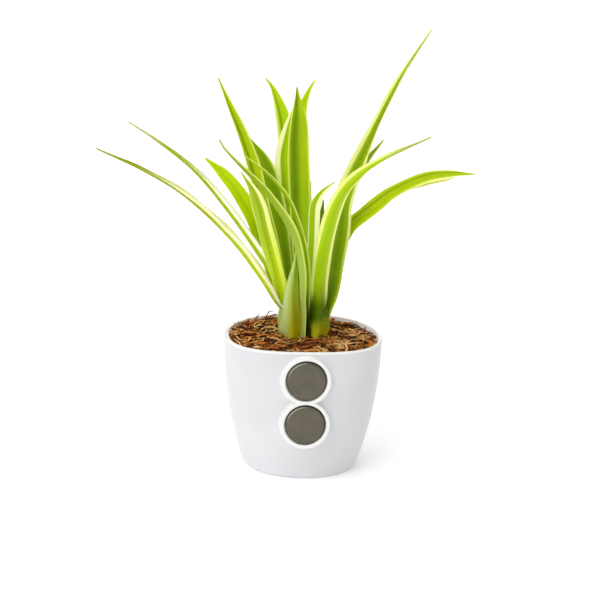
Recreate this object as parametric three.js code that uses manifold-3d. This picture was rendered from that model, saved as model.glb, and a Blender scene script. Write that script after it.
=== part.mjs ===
// A young variegated spider plant with two crowns, in a small white magnet-backed pot of coconut fibre.
// Millimetres, +Z up. The origin is the middle of the pot's underside. The magnets face -Y, the front.
import * as THREE from "three";
import { mergeVertices } from "three/addons/utils/BufferGeometryUtils.js";
import Module from "manifold-3d";

// Clearances
const GAP = 0.3; // left between neighbouring pieces

// Pot
const POT_HEIGHT = 67;
const RIM_RADIUS = 39; // a 3-inch pot
const TAPER = 10.9; // how much narrower the foot is than the rim
const TAPER_POWER = 2.1; // the wall is near upright at the rim and curves in below
const FRONT_RIM = 34.8; // from the axis to the flattened front, at the rim
const FRONT_TAPER = 7.2;
const FRONT_SQUARENESS = 0.8; // how much squarer than an ellipse the front is, at the rim
const FOOT_ROUND = 2.8;
const WALL = 1.8;
const FLOOR = 2.5;
const RIM_ROUND = 0.6;
const POT_SIDES = 48;

// Magnets and the figure-of-eight boss that holds them
const MAGNET_RADIUS = 10;
const MAGNET_THICKNESS = 2.2;
const MAGNET_CHAMFER = 0.3;
const MAGNET_HEIGHTS = { magnet_upper: 53, magnet_lower: 30.7 };
const MAGNET_SIDES = 36;
const BOSS_FACE = 36.5; // from the axis
const BOSS_BACK = 28; // the boss runs back into the tapering wall
const BOSS_RIM = 1.9; // the white ring round each magnet
const BOSS_BEVEL = 0.6;
const MAGNET_SUNK = 0.4; // below the boss's face
const BORE_CHAMFER = 0.5;

// Coconut fibre
const COIR_TOP = 64;
const MOUND_HEIGHT = 1.6; // the fibre is higher at the back left
const MOUND_PLACE = [-20, 16];
const MOUND_SPREAD = 300; // square millimetres
const RIPPLE_HEIGHT = 0.25;
const COIR_RINGS = 5;
const COIR_OUTER_RING = 1.2; // from the wall to the outermost ring of the top
const COIR_RING_STEP = 6.4;
const STRAND_RADIUS = 0.45;

// Leaves
const BLADE_THICKNESS = 0.55;
const EDGE_THICKNESS = 0.3;
const BLADE_STEPS = 13;
const BLADE_ACROSS = [-1, -0.5, 0, 0.5, 1];
const KEEL_ROUNDNESS = 1.15;

// Crowns: the packed leaf bases that stand in the fibre, as [height, half width, half depth] up the axis.
const CROWNS = {
  crown_left: {
    foot: [-5, 2],
    lean: [-0.09, 0.05],
    rings: [
      [57, 1.5, 1.5], [58, 3.6, 3.4], [61, 5.4, 5], [66, 6, 5.4], [72, 6, 5.2], [77, 5.4, 4.6], [80, 3.6, 3],
      [81, 1.5, 1.4],
    ],
  },
  crown_right: {
    foot: [5.5, 4],
    lean: [0.2, 0.05],
    rings: [
      [57, 1.3, 1.3], [58, 2.7, 2.8], [61, 3.4, 3.6], [66, 4, 4.5], [72, 4.4, 4.5], [76, 4.2, 3.9],
      [79, 3.1, 2.8], [80, 1.8, 1.6],
    ],
  },
};

// Leaves, the front ones first. The spine runs up the midrib. Widths, turns and folds are evenly spaced
// along it. A width is that of the flattened blade. A turn is the way its upper side looks, in degrees:
// 0 to the front, 90 to the right and 180 to the back, as on an upright leaf. A fold is how far each half
// is raised from flat.
const LEAVES = {
  leaf_front_sheath: {
    spine: [
      [-5.3, -5, 69], [-5.9, -5.5, 77], [-6.4, -5.5, 86], [-6, -5.5, 95], [-5.2, -5.3, 104],
      [-5, -5, 110.8],
    ],
    widths: [17, 11.8, 9, 6.4, 3.2, 0.6],
    turns: [180, 180],
    folds: [38, 20],
  },
  leaf_front_arch: {
    spine: [
      [-1, -2, 78], [-2, -4, 86], [-3, -7, 99.5], [-5.5, -10.5, 113], [-9.5, -14, 123.5],
      [-14.5, -17, 132.5], [-22, -21, 143.5], [-30, -24, 152.5], [-42, -29, 166.5],
      [-45, -31, 171.5],
    ],
    widths: [5, 6.5, 8, 7.8, 6, 3, 0.6],
    turns: [110, 110],
    folds: [45, 50],
  },
  leaf_right_front: {
    spine: [
      [7, 0, 78], [7.2, -2.5, 85], [7.3, -5, 95.5], [8.8, -9, 113], [12.5, -13, 131],
      [17.5, -17, 143.5], [25.5, -21, 153.5], [34.5, -24, 161], [47, -27, 168.5], [57, -29, 174],
    ],
    widths: [13, 11, 10, 9.5, 9, 7, 3.4, 0.7],
    turns: [-180, -180, -160, -130, -105],
    folds: [45, 28, 30, 45],
  },
  leaf_front_thin: {
    spine: [
      [0.5, 1, 78], [1, 0, 86], [0.5, -2.5, 99], [-1.5, -5, 112], [-6, -8.5, 128], [-11, -11, 139],
      [-20.5, -14, 151], [-31.5, -17, 160.5],
    ],
    widths: [6, 4.6, 5.2, 4.2, 2.8, 0.6],
    turns: [100, 110],
    folds: [40, 45],
  },
  leaf_left_bright: {
    spine: [
      [-7, 0, 76], [-10.5, -0.5, 84], [-15, -1, 98.5], [-18, -2, 109], [-21, -3, 120],
      [-24, -4.5, 131.5], [-27.5, -6, 141.5], [-33, -7, 150.5],
    ],
    widths: [5, 8.5, 9.5, 9.5, 7.5, 0.8],
    turns: [150, 150],
    folds: [30, 20],
  },
  leaf_left_low: {
    spine: [
      [-9, 3, 76], [-14, 0.5, 82.5], [-22, -3, 95.5], [-38, -7, 117], [-61, -12, 139.5],
      [-80, -16, 152], [-103.5, -20, 164],
    ],
    widths: [5, 9, 8.6, 6.2, 3.4, 0.6],
    turns: [90, 90],
    folds: [50, 50],
  },
  leaf_left_mid: {
    spine: [
      [-7, 5, 77], [-12.5, 5.5, 89.5], [-20, 7, 100.5], [-37, 10, 124.5], [-55.5, 13, 146],
      [-74, 15, 160.5], [-88, 17, 169.5],
    ],
    widths: [5, 8.8, 8.5, 6.5, 3.2, 0.6],
    turns: [90, 90],
    folds: [50, 50],
  },
  leaf_left_tall: {
    spine: [
      [-5, 6, 78], [-10, 6.5, 88], [-17, 8, 112.5], [-21.5, 9, 128.5], [-26.5, 10, 148],
      [-32.5, 11, 165], [-39, 12, 180], [-44.5, 13, 193],
    ],
    widths: [5, 7.5, 8.5, 7, 0.8],
    turns: [25, 35],
    folds: [25, 30],
  },
  leaf_left_short: {
    spine: [
      [-6, 7, 78], [-13.5, 10, 89], [-22, 13.5, 111.5], [-27.5, 15, 125], [-34, 17, 135.5],
      [-41.5, 20, 144], [-49.5, 22, 150.5],
    ],
    widths: [4, 7.6, 9, 9, 8.8, 8, 6, 1.2],
    turns: [50, 15],
    folds: [20, 20],
  },
  leaf_left_broad: {
    spine: [
      [-4, 7, 78], [-8, 11, 87], [-9.5, 14.5, 98], [-11.5, 17, 110.5], [-13.5, 19, 123],
      [-16.5, 21.5, 137], [-21, 24, 150], [-28, 27, 160.5],
    ],
    widths: [5, 9, 10, 10.5, 8.5, 0.8],
    turns: [20, 20],
    folds: [25, 20],
  },
  leaf_centre_small: {
    spine: [
      [4, 3, 79], [3.5, 3.5, 90], [4, 4, 102], [4.5, 4, 112], [4.5, 4, 124], [5, 4, 132],
      [8, 3, 138.5], [13.5, 2, 144],
    ],
    widths: [3.5, 5, 6, 6.5, 5.5, 0.8],
    turns: [-20, -20],
    folds: [25, 25],
  },
  leaf_right_tall: {
    spine: [
      [10.1, 5, 76], [13.5, 5, 87], [15.6, 6, 103], [17.8, 7.5, 118], [18.6, 9, 131],
      [21.5, 10, 140.5], [28.5, 11, 156.5], [37, 13, 175], [47, 14, 196], [60, 16, 218],
    ],
    widths: [8.4, 9.4, 10.5, 10.5, 8.5, 6.5, 4, 0.8],
    turns: [-10, -10, -20, -50, -65, -65],
    folds: [25, 20, 35, 40],
  },
  leaf_centre_sliver: {
    spine: [
      [6.5, 7, 79], [6.5, 9, 98], [7.5, 9.5, 111], [8.5, 10, 124], [9, 10, 133],
    ],
    widths: [3, 6, 7, 5.5, 0.8],
    turns: [-30, -30],
    folds: [25, 25],
  },
  leaf_centre_broad: {
    spine: [
      [-1, 5, 79], [-0.5, 7, 90], [-1.5, 10.5, 110], [-3, 14.5, 135], [-4, 18, 157],
      [-4, 20.5, 172], [-5, 23, 187],
    ],
    widths: [4, 8.5, 11, 11.5, 11.5, 9.5, 0.8],
    turns: [5, 5],
    folds: [25, 18],
  },
  leaf_right_low: {
    spine: [
      [8.5, 7, 79], [13.5, 10, 87], [17.5, 12, 102.5], [20.5, 13, 112.6], [24.4, 13, 119],
      [29.6, 13, 123.4], [37.2, 12, 130.2], [43.7, 11, 135.8], [59.4, 9, 144.3], [71, 7, 147],
      [83, 5, 148.2],
    ],
    widths: [4, 6.5, 8, 9.4, 9.8, 9.2, 7.6, 5.8, 0.8],
    turns: [-30, -48, -50],
    folds: [30, 35],
  },
  leaf_centre_pale: {
    spine: [
      [1.8, 6, 82], [2.6, 13, 95], [3, 16, 109.5], [3, 18, 123], [3, 20, 135], [3.2, 21, 140],
    ],
    widths: [3, 5, 5, 4.2, 2.4, 0.6],
    turns: [10, 10],
    folds: [10, 10],
  },
  leaf_centre_cream: {
    spine: [
      [-3, 8, 82], [-5, 17, 97.5], [-8, 22.5, 118], [-10, 26, 137], [-11, 28.5, 151],
      [-9.5, 30, 160], [-6.8, 33, 171], [-5.3, 34, 175.5],
    ],
    widths: [4, 8, 9.5, 9.5, 8.5, 6, 0.8],
    turns: [5, 0],
    folds: [14, 8],
  },
  leaf_right_dark: {
    spine: [
      [9.5, 8.5, 79], [12, 13, 88], [14.5, 16, 100], [18, 20.5, 117], [22, 24, 130],
      [26.5, 27, 139.5], [31.5, 30, 148], [40, 34, 158.5],
    ],
    widths: [3, 6, 7.5, 8, 6, 0.8],
    turns: [-45, -40],
    folds: [35, 35],
  },
  leaf_back_left: {
    spine: [
      [-2.5, 9, 82], [-3.5, 18, 98], [-6, 27, 122], [-8, 33, 142], [-10, 41, 164.5],
      [-12.5, 45, 174], [-16, 49, 182], [-19, 52, 185.5],
    ],
    widths: [4, 7, 8, 8.5, 8, 0.8],
    turns: [10, 10],
    folds: [20, 20],
  },
  leaf_back_right: {
    spine: [
      [0, 8.5, 83], [-0.5, 16, 100], [-2, 25, 128], [-2.5, 32, 153], [-1, 37, 172],
      [2, 39.5, 181.5], [5, 41, 187],
    ],
    widths: [4, 6, 7.5, 8, 7.5, 0.8],
    turns: [-30, -30],
    folds: [20, 20],
  },
};

// The largest loose strands of fibre on top: [x, y, way it lies in degrees, length, bow]
const STRANDS = [
  [-24, -12, 20, 17, 2], [-14, -21, -25, 15, -2], [-27, 5, 70, 13, 2], [-17, 19, 10, 15, 3],
  [3, -23, 4, 16, 2], [22, -14, 48, 14, -3], [27, 2, -62, 14, 2], [15, 21, -30, 13, 2],
];
// One wiry strand stands up in a loop behind the left crown.
const LOOP_STRAND = [
  [-17.6, 26, 64], [-16.9, 26.4, 68.3], [-15.9, 26.7, 70.3], [-14.5, 27, 71], [-13.3, 27, 70.2],
];

const COLOURS = {
  pot: { color: 0xf2f2f3, roughness: 0.35, metalness: 0 },
  magnet: { color: 0x5f5a50, roughness: 0.55, metalness: 0.4 },
  coir: { color: 0x6b4420, roughness: 1, metalness: 0 },
  strand: { color: 0xb0763a, roughness: 0.9, metalness: 0 },
  crown: { color: 0xb6c24a, roughness: 0.5, metalness: 0 },
  leaf: { color: 0x7fae1c, roughness: 0.45, metalness: 0 },
};

const wasm = await Module();
wasm.setup();

const plant = new THREE.Group();

function solid(geometry) {
  const bare = geometry.index ? geometry.clone() : geometry;
  for (const name of ["normal", "uv"]) {
    bare.deleteAttribute(name);
  }
  const merged = mergeVertices(bare, 1e-4);
  return new wasm.Manifold(new wasm.Mesh({
    numProp: 3,
    vertProperties: new Float32Array(merged.attributes.position.array),
    triVerts: new Uint32Array(merged.index.array),
  }));
}

function geometryOf(body) {
  const mesh = body.getMesh();
  const geometry = new THREE.BufferGeometry();
  geometry.setAttribute("position", new THREE.BufferAttribute(new Float32Array(mesh.vertProperties), 3));
  geometry.setIndex(new THREE.BufferAttribute(new Uint32Array(mesh.triVerts), 1));
  return geometry;
}

function addNode(name, body, look) {
  const mesh = new THREE.Mesh(geometryOf(body), new THREE.MeshStandardMaterial(COLOURS[look]));
  mesh.name = name;
  plant.add(mesh);
}

function largestPiece(body) {
  return body.decompose().reduce((best, piece) => (piece.volume() > best.volume() ? piece : best));
}

// A value at t, from 0 to 1, along a list that is evenly spaced.
function along(values, t) {
  return new THREE.SplineCurve(values.map((value, i) => new THREE.Vector2(i, value))).getPoint(t).y;
}

// Closed skin over rings of points, each ring in the same order, with flat or fanned ends.
function skin(rings, capTriangles) {
  const count = rings[0].length;
  const last = (rings.length - 1) * count;
  const triangles = [];
  for (let ring = 0; ring < rings.length - 1; ring++) {
    for (let i = 0; i < count; i++) {
      const a = ring * count + i;
      const b = ring * count + ((i + 1) % count);
      triangles.push(a, b, b + count, a, b + count, a + count);
    }
  }
  for (const [a, b, c] of capTriangles(count)) {
    triangles.push(a, c, b, last + a, last + b, last + c);
  }
  const geometry = new THREE.BufferGeometry();
  const positions = rings.flat().flatMap((point) => point.toArray());
  geometry.setAttribute("position", new THREE.Float32BufferAttribute(positions, 3));
  geometry.setIndex(triangles);
  return geometry;
}

// How far the pot's outline is from the axis, in the direction of an angle, at a height.
function potReach(height, angle, inset) {
  const rise = THREE.MathUtils.clamp(height / POT_HEIGHT, 0, 1);
  const taper = (1 - rise) ** TAPER_POWER;
  const round = RIM_RADIUS - TAPER * taper - inset;
  if (Math.sin(angle) >= 0) {
    return round;
  }
  const front = FRONT_RIM - FRONT_TAPER * taper - inset;
  const power = 2 + FRONT_SQUARENESS * rise;
  const acrossTerm = Math.abs(Math.cos(angle) / round) ** power;
  const frontTerm = Math.abs(Math.sin(angle) / front) ** power;
  return (acrossTerm + frontTerm) ** (-1 / power);
}

// A turned body with the pot's plan, from a profile of [inset from the outline, height] between two points
// on the axis.
function potTurned(profile) {
  const axisPoint = (height) => new THREE.Vector2(0, height);
  const outline = profile.map(([, height], i) => new THREE.Vector2(i + 1, height));
  const lathe = new THREE.LatheGeometry(
    [axisPoint(profile[0][1]), ...outline, axisPoint(profile.at(-1)[1])], POT_SIDES);
  lathe.rotateX(Math.PI / 2);
  const position = lathe.attributes.position;
  for (let i = 0; i < position.count; i++) {
    const ring = Math.round(Math.hypot(position.getX(i), position.getY(i)));
    if (ring > 0) {
      const angle = Math.atan2(position.getY(i), position.getX(i));
      const reach = potReach(position.getZ(i), angle, profile[ring - 1][0]);
      position.setXY(i, reach * Math.cos(angle), reach * Math.sin(angle));
    }
  }
  return solid(lathe);
}

// [inset, height] points round a quarter of a rounded edge.
function quarterRound(insetCentre, heightCentre, radius, from, steps) {
  return Array.from({ length: steps + 1 }, (_, i) => {
    const angle = from + (i / steps) * (Math.PI / 2);
    return [insetCentre - radius * Math.cos(angle), heightCentre + radius * Math.sin(angle)];
  });
}

function wallPoints(inset, from, to, steps) {
  return Array.from({ length: steps + 1 }, (_, i) => [inset, from + ((to - from) * i) / steps]);
}

function frontCylinder(radiusFront, radiusBack, front, back, height) {
  const geometry = new THREE.CylinderGeometry(radiusBack, radiusFront, front - back, MAGNET_SIDES);
  geometry.translate(0, -(front + back) / 2, height);
  return solid(geometry);
}

function bossOutline() {
  const [upper, lower] = Object.values(MAGNET_HEIGHTS);
  const radius = MAGNET_RADIUS + BOSS_RIM + GAP - BOSS_BEVEL;
  const waist = Math.asin((upper - lower) / 2 / radius);
  const outline = new THREE.Shape();
  outline.absarc(0, upper, radius, -waist, Math.PI + waist, false);
  outline.absarc(0, lower, radius, Math.PI - waist, waist, false);
  return outline;
}

function pot() {
  const outer = potTurned([
    ...quarterRound(FOOT_ROUND, FOOT_ROUND, FOOT_ROUND, -Math.PI / 2, 4),
    ...wallPoints(0, FOOT_ROUND, POT_HEIGHT - RIM_ROUND, 9).slice(1),
    ...quarterRound(RIM_ROUND, POT_HEIGHT - RIM_ROUND, RIM_ROUND, 0, 2).slice(1),
  ]);
  const inner = potTurned([
    ...quarterRound(WALL + FOOT_ROUND, FLOOR + FOOT_ROUND, FOOT_ROUND, -Math.PI / 2, 3),
    ...wallPoints(WALL, FLOOR + FOOT_ROUND, POT_HEIGHT - RIM_ROUND, 7).slice(1),
    [WALL - RIM_ROUND, POT_HEIGHT + GAP],
  ]);
  const boss = new THREE.ExtrudeGeometry(bossOutline(), {
    depth: BOSS_FACE - BOSS_BACK - BOSS_BEVEL,
    bevelThickness: BOSS_BEVEL,
    bevelSize: BOSS_BEVEL,
    bevelSegments: 2,
    curveSegments: 20,
  });
  boss.rotateX(Math.PI / 2);
  boss.translate(0, -BOSS_BACK, 0);
  let body = outer.add(solid(boss)).subtract(inner);
  const boreRadius = MAGNET_RADIUS + GAP;
  const boreFloor = BOSS_FACE - MAGNET_SUNK - MAGNET_THICKNESS - GAP;
  for (const height of Object.values(MAGNET_HEIGHTS)) {
    body = body.subtract(frontCylinder(boreRadius, boreRadius, BOSS_FACE + GAP, boreFloor, height));
    const mouthRadius = boreRadius + BORE_CHAMFER;
    const mouth = frontCylinder(mouthRadius, boreRadius, BOSS_FACE, BOSS_FACE - BORE_CHAMFER, height);
    body = body.subtract(mouth);
  }
  return body;
}

function magnet(height) {
  const face = BOSS_FACE - MAGNET_SUNK;
  const side = MAGNET_RADIUS - MAGNET_CHAMFER;
  const profile = [
    [0, 0], [side, 0], [MAGNET_RADIUS, MAGNET_CHAMFER], [MAGNET_RADIUS, MAGNET_THICKNESS - MAGNET_CHAMFER],
    [side, MAGNET_THICKNESS], [0, MAGNET_THICKNESS],
  ].map(([radius, depth]) => new THREE.Vector2(radius, depth));
  const disc = new THREE.LatheGeometry(profile, MAGNET_SIDES);
  disc.translate(0, -face, height);
  return solid(disc);
}

function coirHeight(x, y) {
  const [moundX, moundY] = MOUND_PLACE;
  const mound = MOUND_HEIGHT * Math.exp(-((x - moundX) ** 2 + (y - moundY) ** 2) / MOUND_SPREAD);
  return COIR_TOP + mound + RIPPLE_HEIGHT * Math.sin(0.55 * x + 1) * Math.cos(0.5 * y);
}

function coir(crowns) {
  const inset = WALL + GAP;
  const foot = FLOOR + GAP;
  const side = [
    ...quarterRound(inset + FOOT_ROUND, foot + FOOT_ROUND, FOOT_ROUND, -Math.PI / 2, 2),
    ...wallPoints(inset, foot + FOOT_ROUND, COIR_TOP - 1, 5).slice(1),
  ];
  const outerRing = inset + COIR_OUTER_RING;
  const top = Array.from({ length: COIR_RINGS }, (_, i) => [outerRing + i * COIR_RING_STEP, COIR_TOP]);
  const body = potTurned([...side, ...top]).warp((vertex) => {
    if (vertex[2] > COIR_TOP - 0.1) {
      vertex[2] = coirHeight(vertex[0], vertex[1]);
    }
  });
  return crowns.reduce((rest, crown) => rest.subtract(crown), body);
}

function tube(points, radius, steps) {
  const section = new THREE.Shape();
  section.absarc(0, 0, radius, 0, 2 * Math.PI, false);
  const path = new THREE.CatmullRomCurve3(points.map((point) => new THREE.Vector3(...point)));
  return solid(new THREE.ExtrudeGeometry(section, { extrudePath: path, steps, curveSegments: 3 }));
}

// A strand lying on the fibre, bowed along its length.
function lyingStrand([x, y, way, length, bow]) {
  const turn = THREE.MathUtils.degToRad(way);
  const points = [-0.5, -0.2, 0.15, 0.5].map((place) => {
    const run = place * length;
    const off = bow * (1 - 4 * place * place);
    const px = x + run * Math.cos(turn) - off * Math.sin(turn);
    const py = y + run * Math.sin(turn) + off * Math.cos(turn);
    return [px, py, coirHeight(px, py) + STRAND_RADIUS + GAP];
  });
  return tube(points, STRAND_RADIUS, 8);
}

function loopStrand([[footX, footY], ...rest]) {
  return tube([[footX, footY, coirHeight(footX, footY) + GAP], ...rest], STRAND_RADIUS / 1.5, 12);
}

// A crown, or with a margin the space that its neighbours keep clear of.
function crown({ foot, lean, rings }, margin = 0) {
  const sides = 16;
  const lowest = rings[0][0];
  const top = rings.at(-1)[0];
  const loops = rings.map(([height, halfWidth, halfDepth]) => {
    const rise = height - lowest;
    const z = height + margin * (height === lowest ? -1 : height === top ? 1 : 0);
    return Array.from({ length: sides }, (_, i) => {
      const angle = (2 * Math.PI * i) / sides;
      const x = foot[0] + lean[0] * rise + (halfWidth + margin) * Math.cos(angle);
      const y = foot[1] + lean[1] * rise + (halfDepth + margin) * Math.sin(angle);
      return new THREE.Vector3(x, y, z);
    });
  });
  const fan = (count) => Array.from({ length: count - 2 }, (_, i) => [0, i + 1, i + 2]);
  return solid(skin(loops, fan));
}

// A leaf blade: a channelled strip with a keel, or with a margin the space that its neighbours keep clear of.
function blade({ spine, widths, turns, folds }, margin = 0) {
  const points = spine.map((point) => new THREE.Vector3(...point));
  const curve = new THREE.CatmullRomCurve3(points, false, "centripetal");
  const front = new THREE.Vector3(0, -1, 0);
  const rings = [];
  for (let step = 0; step <= BLADE_STEPS; step++) {
    const t = step / BLADE_STEPS;
    const centre = curve.getPointAt(t);
    const run = curve.getTangentAt(t);
    const side = new THREE.Vector3().crossVectors(run, front).normalize();
    const face = new THREE.Vector3().crossVectors(side, run);
    const turn = THREE.MathUtils.degToRad(along(turns, t));
    const upper = face.multiplyScalar(Math.cos(turn)).addScaledVector(side, Math.sin(turn));
    const across = new THREE.Vector3().crossVectors(run, upper);
    const fold = THREE.MathUtils.degToRad(along(folds, t));
    const half = along(widths, t) / 2 + margin;
    const point = (place, layer) => {
      const thickness = THREE.MathUtils.lerp(BLADE_THICKNESS, EDGE_THICKNESS, Math.abs(place));
      const raised = half * Math.sin(fold) * Math.abs(place) ** KEEL_ROUNDNESS;
      const lift = raised + layer * (thickness / 2 / Math.cos(fold) + margin / Math.cos(fold));
      const reach = half * Math.cos(fold) * place;
      return centre.clone().addScaledVector(across, reach).addScaledVector(upper, lift);
    };
    const upperSide = BLADE_ACROSS.map((place) => point(place, 1));
    const underside = BLADE_ACROSS.toReversed().map((place) => point(place, -1));
    rings.push([...upperSide, ...underside]);
  }
  const strip = (count) => {
    const quads = Array.from({ length: count / 2 - 1 }, (_, i) => [i, i + 1, count - 2 - i, count - 1 - i]);
    return quads.flatMap(([a, b, c, d]) => [[a, b, c], [a, c, d]]);
  };
  return solid(skin(rings, strip));
}

addNode("pot", pot(), "pot");
for (const [name, height] of Object.entries(MAGNET_HEIGHTS)) {
  addNode(name, magnet(height), "magnet");
}

const crownSpaces = Object.values(CROWNS).map((shape) => crown(shape, GAP));
addNode("coir_growing_medium", coir(crownSpaces), "coir");
STRANDS.forEach((strand, i) => addNode(`coir_strand_${i + 1}`, lyingStrand(strand), "strand"));
addNode("coir_strand_loop", loopStrand(LOOP_STRAND), "strand");
addNode("crown_left", crown(CROWNS.crown_left), "crown");
addNode("crown_right", crown(CROWNS.crown_right).subtract(crownSpaces[0]), "crown");

// Each blade is trimmed where it meets the crowns and the blades in front of it.
const taken = [...crownSpaces];
for (const [name, leaf] of Object.entries(LEAVES)) {
  const trimmed = taken.reduce((rest, space) => rest.subtract(space), blade(leaf));
  addNode(name, largestPiece(trimmed), "leaf");
  taken.push(blade(leaf, GAP));
}

export default plant;
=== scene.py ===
# A young variegated spider plant with two crowns, in a small white magnetic pot full of coconut fibre.
# Places and sizes are in millimetres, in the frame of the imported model: +Z up, the middle of the pot's
# underside at the origin, and the magnets facing -Y, the front. Colours are hexadecimal screen colours.
import math
import bmesh
import bpy
from mathutils import Matrix, Vector, noise


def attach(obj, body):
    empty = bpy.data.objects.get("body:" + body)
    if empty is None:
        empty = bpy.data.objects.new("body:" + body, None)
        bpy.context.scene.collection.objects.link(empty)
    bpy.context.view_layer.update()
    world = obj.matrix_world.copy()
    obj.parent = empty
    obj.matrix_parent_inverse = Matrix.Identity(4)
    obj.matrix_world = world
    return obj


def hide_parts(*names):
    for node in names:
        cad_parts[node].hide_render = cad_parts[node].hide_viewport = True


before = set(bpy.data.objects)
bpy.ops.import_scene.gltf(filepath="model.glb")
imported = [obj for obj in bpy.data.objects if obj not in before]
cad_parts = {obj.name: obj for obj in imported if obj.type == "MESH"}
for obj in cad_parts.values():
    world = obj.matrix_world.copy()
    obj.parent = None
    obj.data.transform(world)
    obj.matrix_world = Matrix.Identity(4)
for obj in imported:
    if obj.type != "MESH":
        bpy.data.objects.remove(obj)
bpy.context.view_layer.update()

MM = 0.001

# Points closer than this are merged, in metres: in a new mesh, and after a cut
MESH_WELD = 1e-7
CUT_WELD = 1e-6

# Lengths under this count as nothing
TINY = 1e-9

# Camera, with its angles in degrees
CAMERA_AROUND = -3.9  # a little to the left of straight ahead
CAMERA_ABOVE = 15.2
CAMERA_ROLL = 1.7
CAMERA_AWAY = 1500
CAMERA_LENS = 180.94
CAMERA_SENSOR = 36
CAMERA_CLIP = (0.05, 50)  # what the camera sees, from and to, in metres
CAMERA_TARGET = (-1.636, 4.490, 83.080)

# Studio: each lamp's place gives the way it shines from, with its softness in degrees and its strength
SKY_STRENGTH = 0.2
LAMPS = {
    "key_left": ((-0.85, -1.0, 0.85), 50, 1.12),
    "fill_high": ((-0.15, 0.1, 1.0), 90, 1.95),
}
FLOOR_REACH = 9000
FLOOR_GLOW = 0.23
PAPER_WHITES = ("FCFCFC", "FEFEFE")
PAPER_GRAIN = (60, 2)
PAPER_ROUGHNESS = 0.9
PAPER_SHEEN = 0.1

# Pot: a round plan whose front is flatter. Insets are measured in from the outline of the plan.
POT_HEIGHT = 67
POT_SIDES = 224
RIM_RADIUS = 39
TAPER = 10.9  # how much further in the foot is than the rim
TAPER_POWER = 2.1
FRONT_RIM = 34.8  # from the axis to the rim at the front
FRONT_TAPER = 7.2
FRONT_SQUARENESS = 0.8
WALL = 1.8
FLOOR = 2.5
FOOT_ROUND = 2.8
RIM_ROUND = 0.6
LIP_DEPTH = 1.4
POT_STEPS = {"foot": 10, "wall": 44, "rim": 5, "lip": 4, "inside": 20, "floor": 6}
POT_SHARP = 32  # edges that turn by more degrees than this stay crisp
UNDERSIDE_INSETS = (22, 14, 5.6)
FLOOR_INSET = 20
POT_WHITES = ("DEDEE1", "E1E1E4")
POT_BRIGHT = "F6F6F3"  # the rim, the inside and the edge of the boss, where the light burns out
POT_PAINTED_GLOW = 0.22  # painted glow: the inside emits light, standing in for light through the thin far wall
POT_CLOUD = (38, 2)  # here and below, how close a noise is and how detailed
POT_PEBBLE = (900, 2)
POT_ROUGHNESS = (0.28, 0.4)
POT_DENT = (0.06, 0.05)  # here and below, how strong the bumps are, and how deep in millimetres
BOSS_LIGHT = (11.8, 13.4)  # painted highlight: the boss is whiter as far as this from a magnet's middle
BOSS_BEHIND = -30  # and only in front of this
RIM_LIGHT = (66, 66.5)
SOIL_DUST = "8A6A4A"
DUST_LINE = (63.8, 65.2)
DUST_SPECKS = (700, 4)

# Magnets and the figure-of-eight boss that holds them
MAGNET_RADIUS = 10
MAGNET_THICKNESS = 2.2
MAGNET_HEIGHTS = {"upper": 53, "lower": 30.7}
MAGNET_SIDES = 128
MAGNET_SUNK = 0.4
MAGNET_STEP = 0.25  # the face stands this far over a ledge round its edge
MAGNET_LEDGE = 0.8
MAGNET_SLOPE = 0.45  # the way down from the face to the ledge
MAGNET_ROUND = 0.4
MAGNET_CHAMFER = 0.3
MAGNET_DIMPLE = [(0.15, 0.14), (0.4, 0.1), (0.6, 0.02), (0.75, 0)]  # radius and depth under the face
MAGNET_FACE_RINGS = (4, 8)
MAGNET_ROUND_STEPS = 6
MAGNET_SHARP = 50
# Each magnet's ledge gets a painted shadow towards the upper right, where the ring's lip shades it, and its
# shoulder a painted highlight towards the upper left, where the key light catches it
SHADOW_WAY = (0.65, 0.75)  # towards the upper right, as (across, up)
SHADOW_REACH = (-4, 9)  # painted shadow: the ledge darkens this way between these places
SHADOW_STRENGTH = (0.25, 0.85)
HIGHLIGHT_WAY = (-0.6, 0.8)  # towards the upper left
HIGHLIGHT_REACH = (6, 9.2)
HIGHLIGHT_STRENGTH = 0.9
PLATING = ("605B4F", "6C6556")
PLATING_FLECK = "4A453A"
PLATING_MOTTLE = (120, 4, 0.6)
PLATING_GRAIN = (1600, 2)
PLATING_METALLIC = 0.35
PLATING_ROUGHNESS = (0.46, 0.58)
PLATING_DENT = (0.15, 0.05)
# Colours of the painted shadow on the ledge and of the painted highlight on the shoulder
LEDGE_SHADOW = "231F1A"
SHOULDER_HIGHLIGHT = "BCB8A8"
BOSS_FACE = 36.5  # from the axis
BOSS_RIM = 1.9
BOSS_BEVEL = 0.7
BOSS_FILLET = 1.3
BOSS_STEPS = 80
BOSS_ROOTS = ((0.6, 0.7), (1, 0.12))  # rings inside the wall, as (share of the fillet, depth)
FILLET_SUNK = 0.1
FILLET_RISE = 0.8  # the fillet is flatter than a quarter of a circle
FILLET_STEPS = 8
BEVEL_STEPS = 6
BORE_GAP = 0.3
BORE_CHAMFER = 0.5
BORE_STEPS = 4
BORE_PAST = 1  # how far the cut runs out past the face

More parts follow.
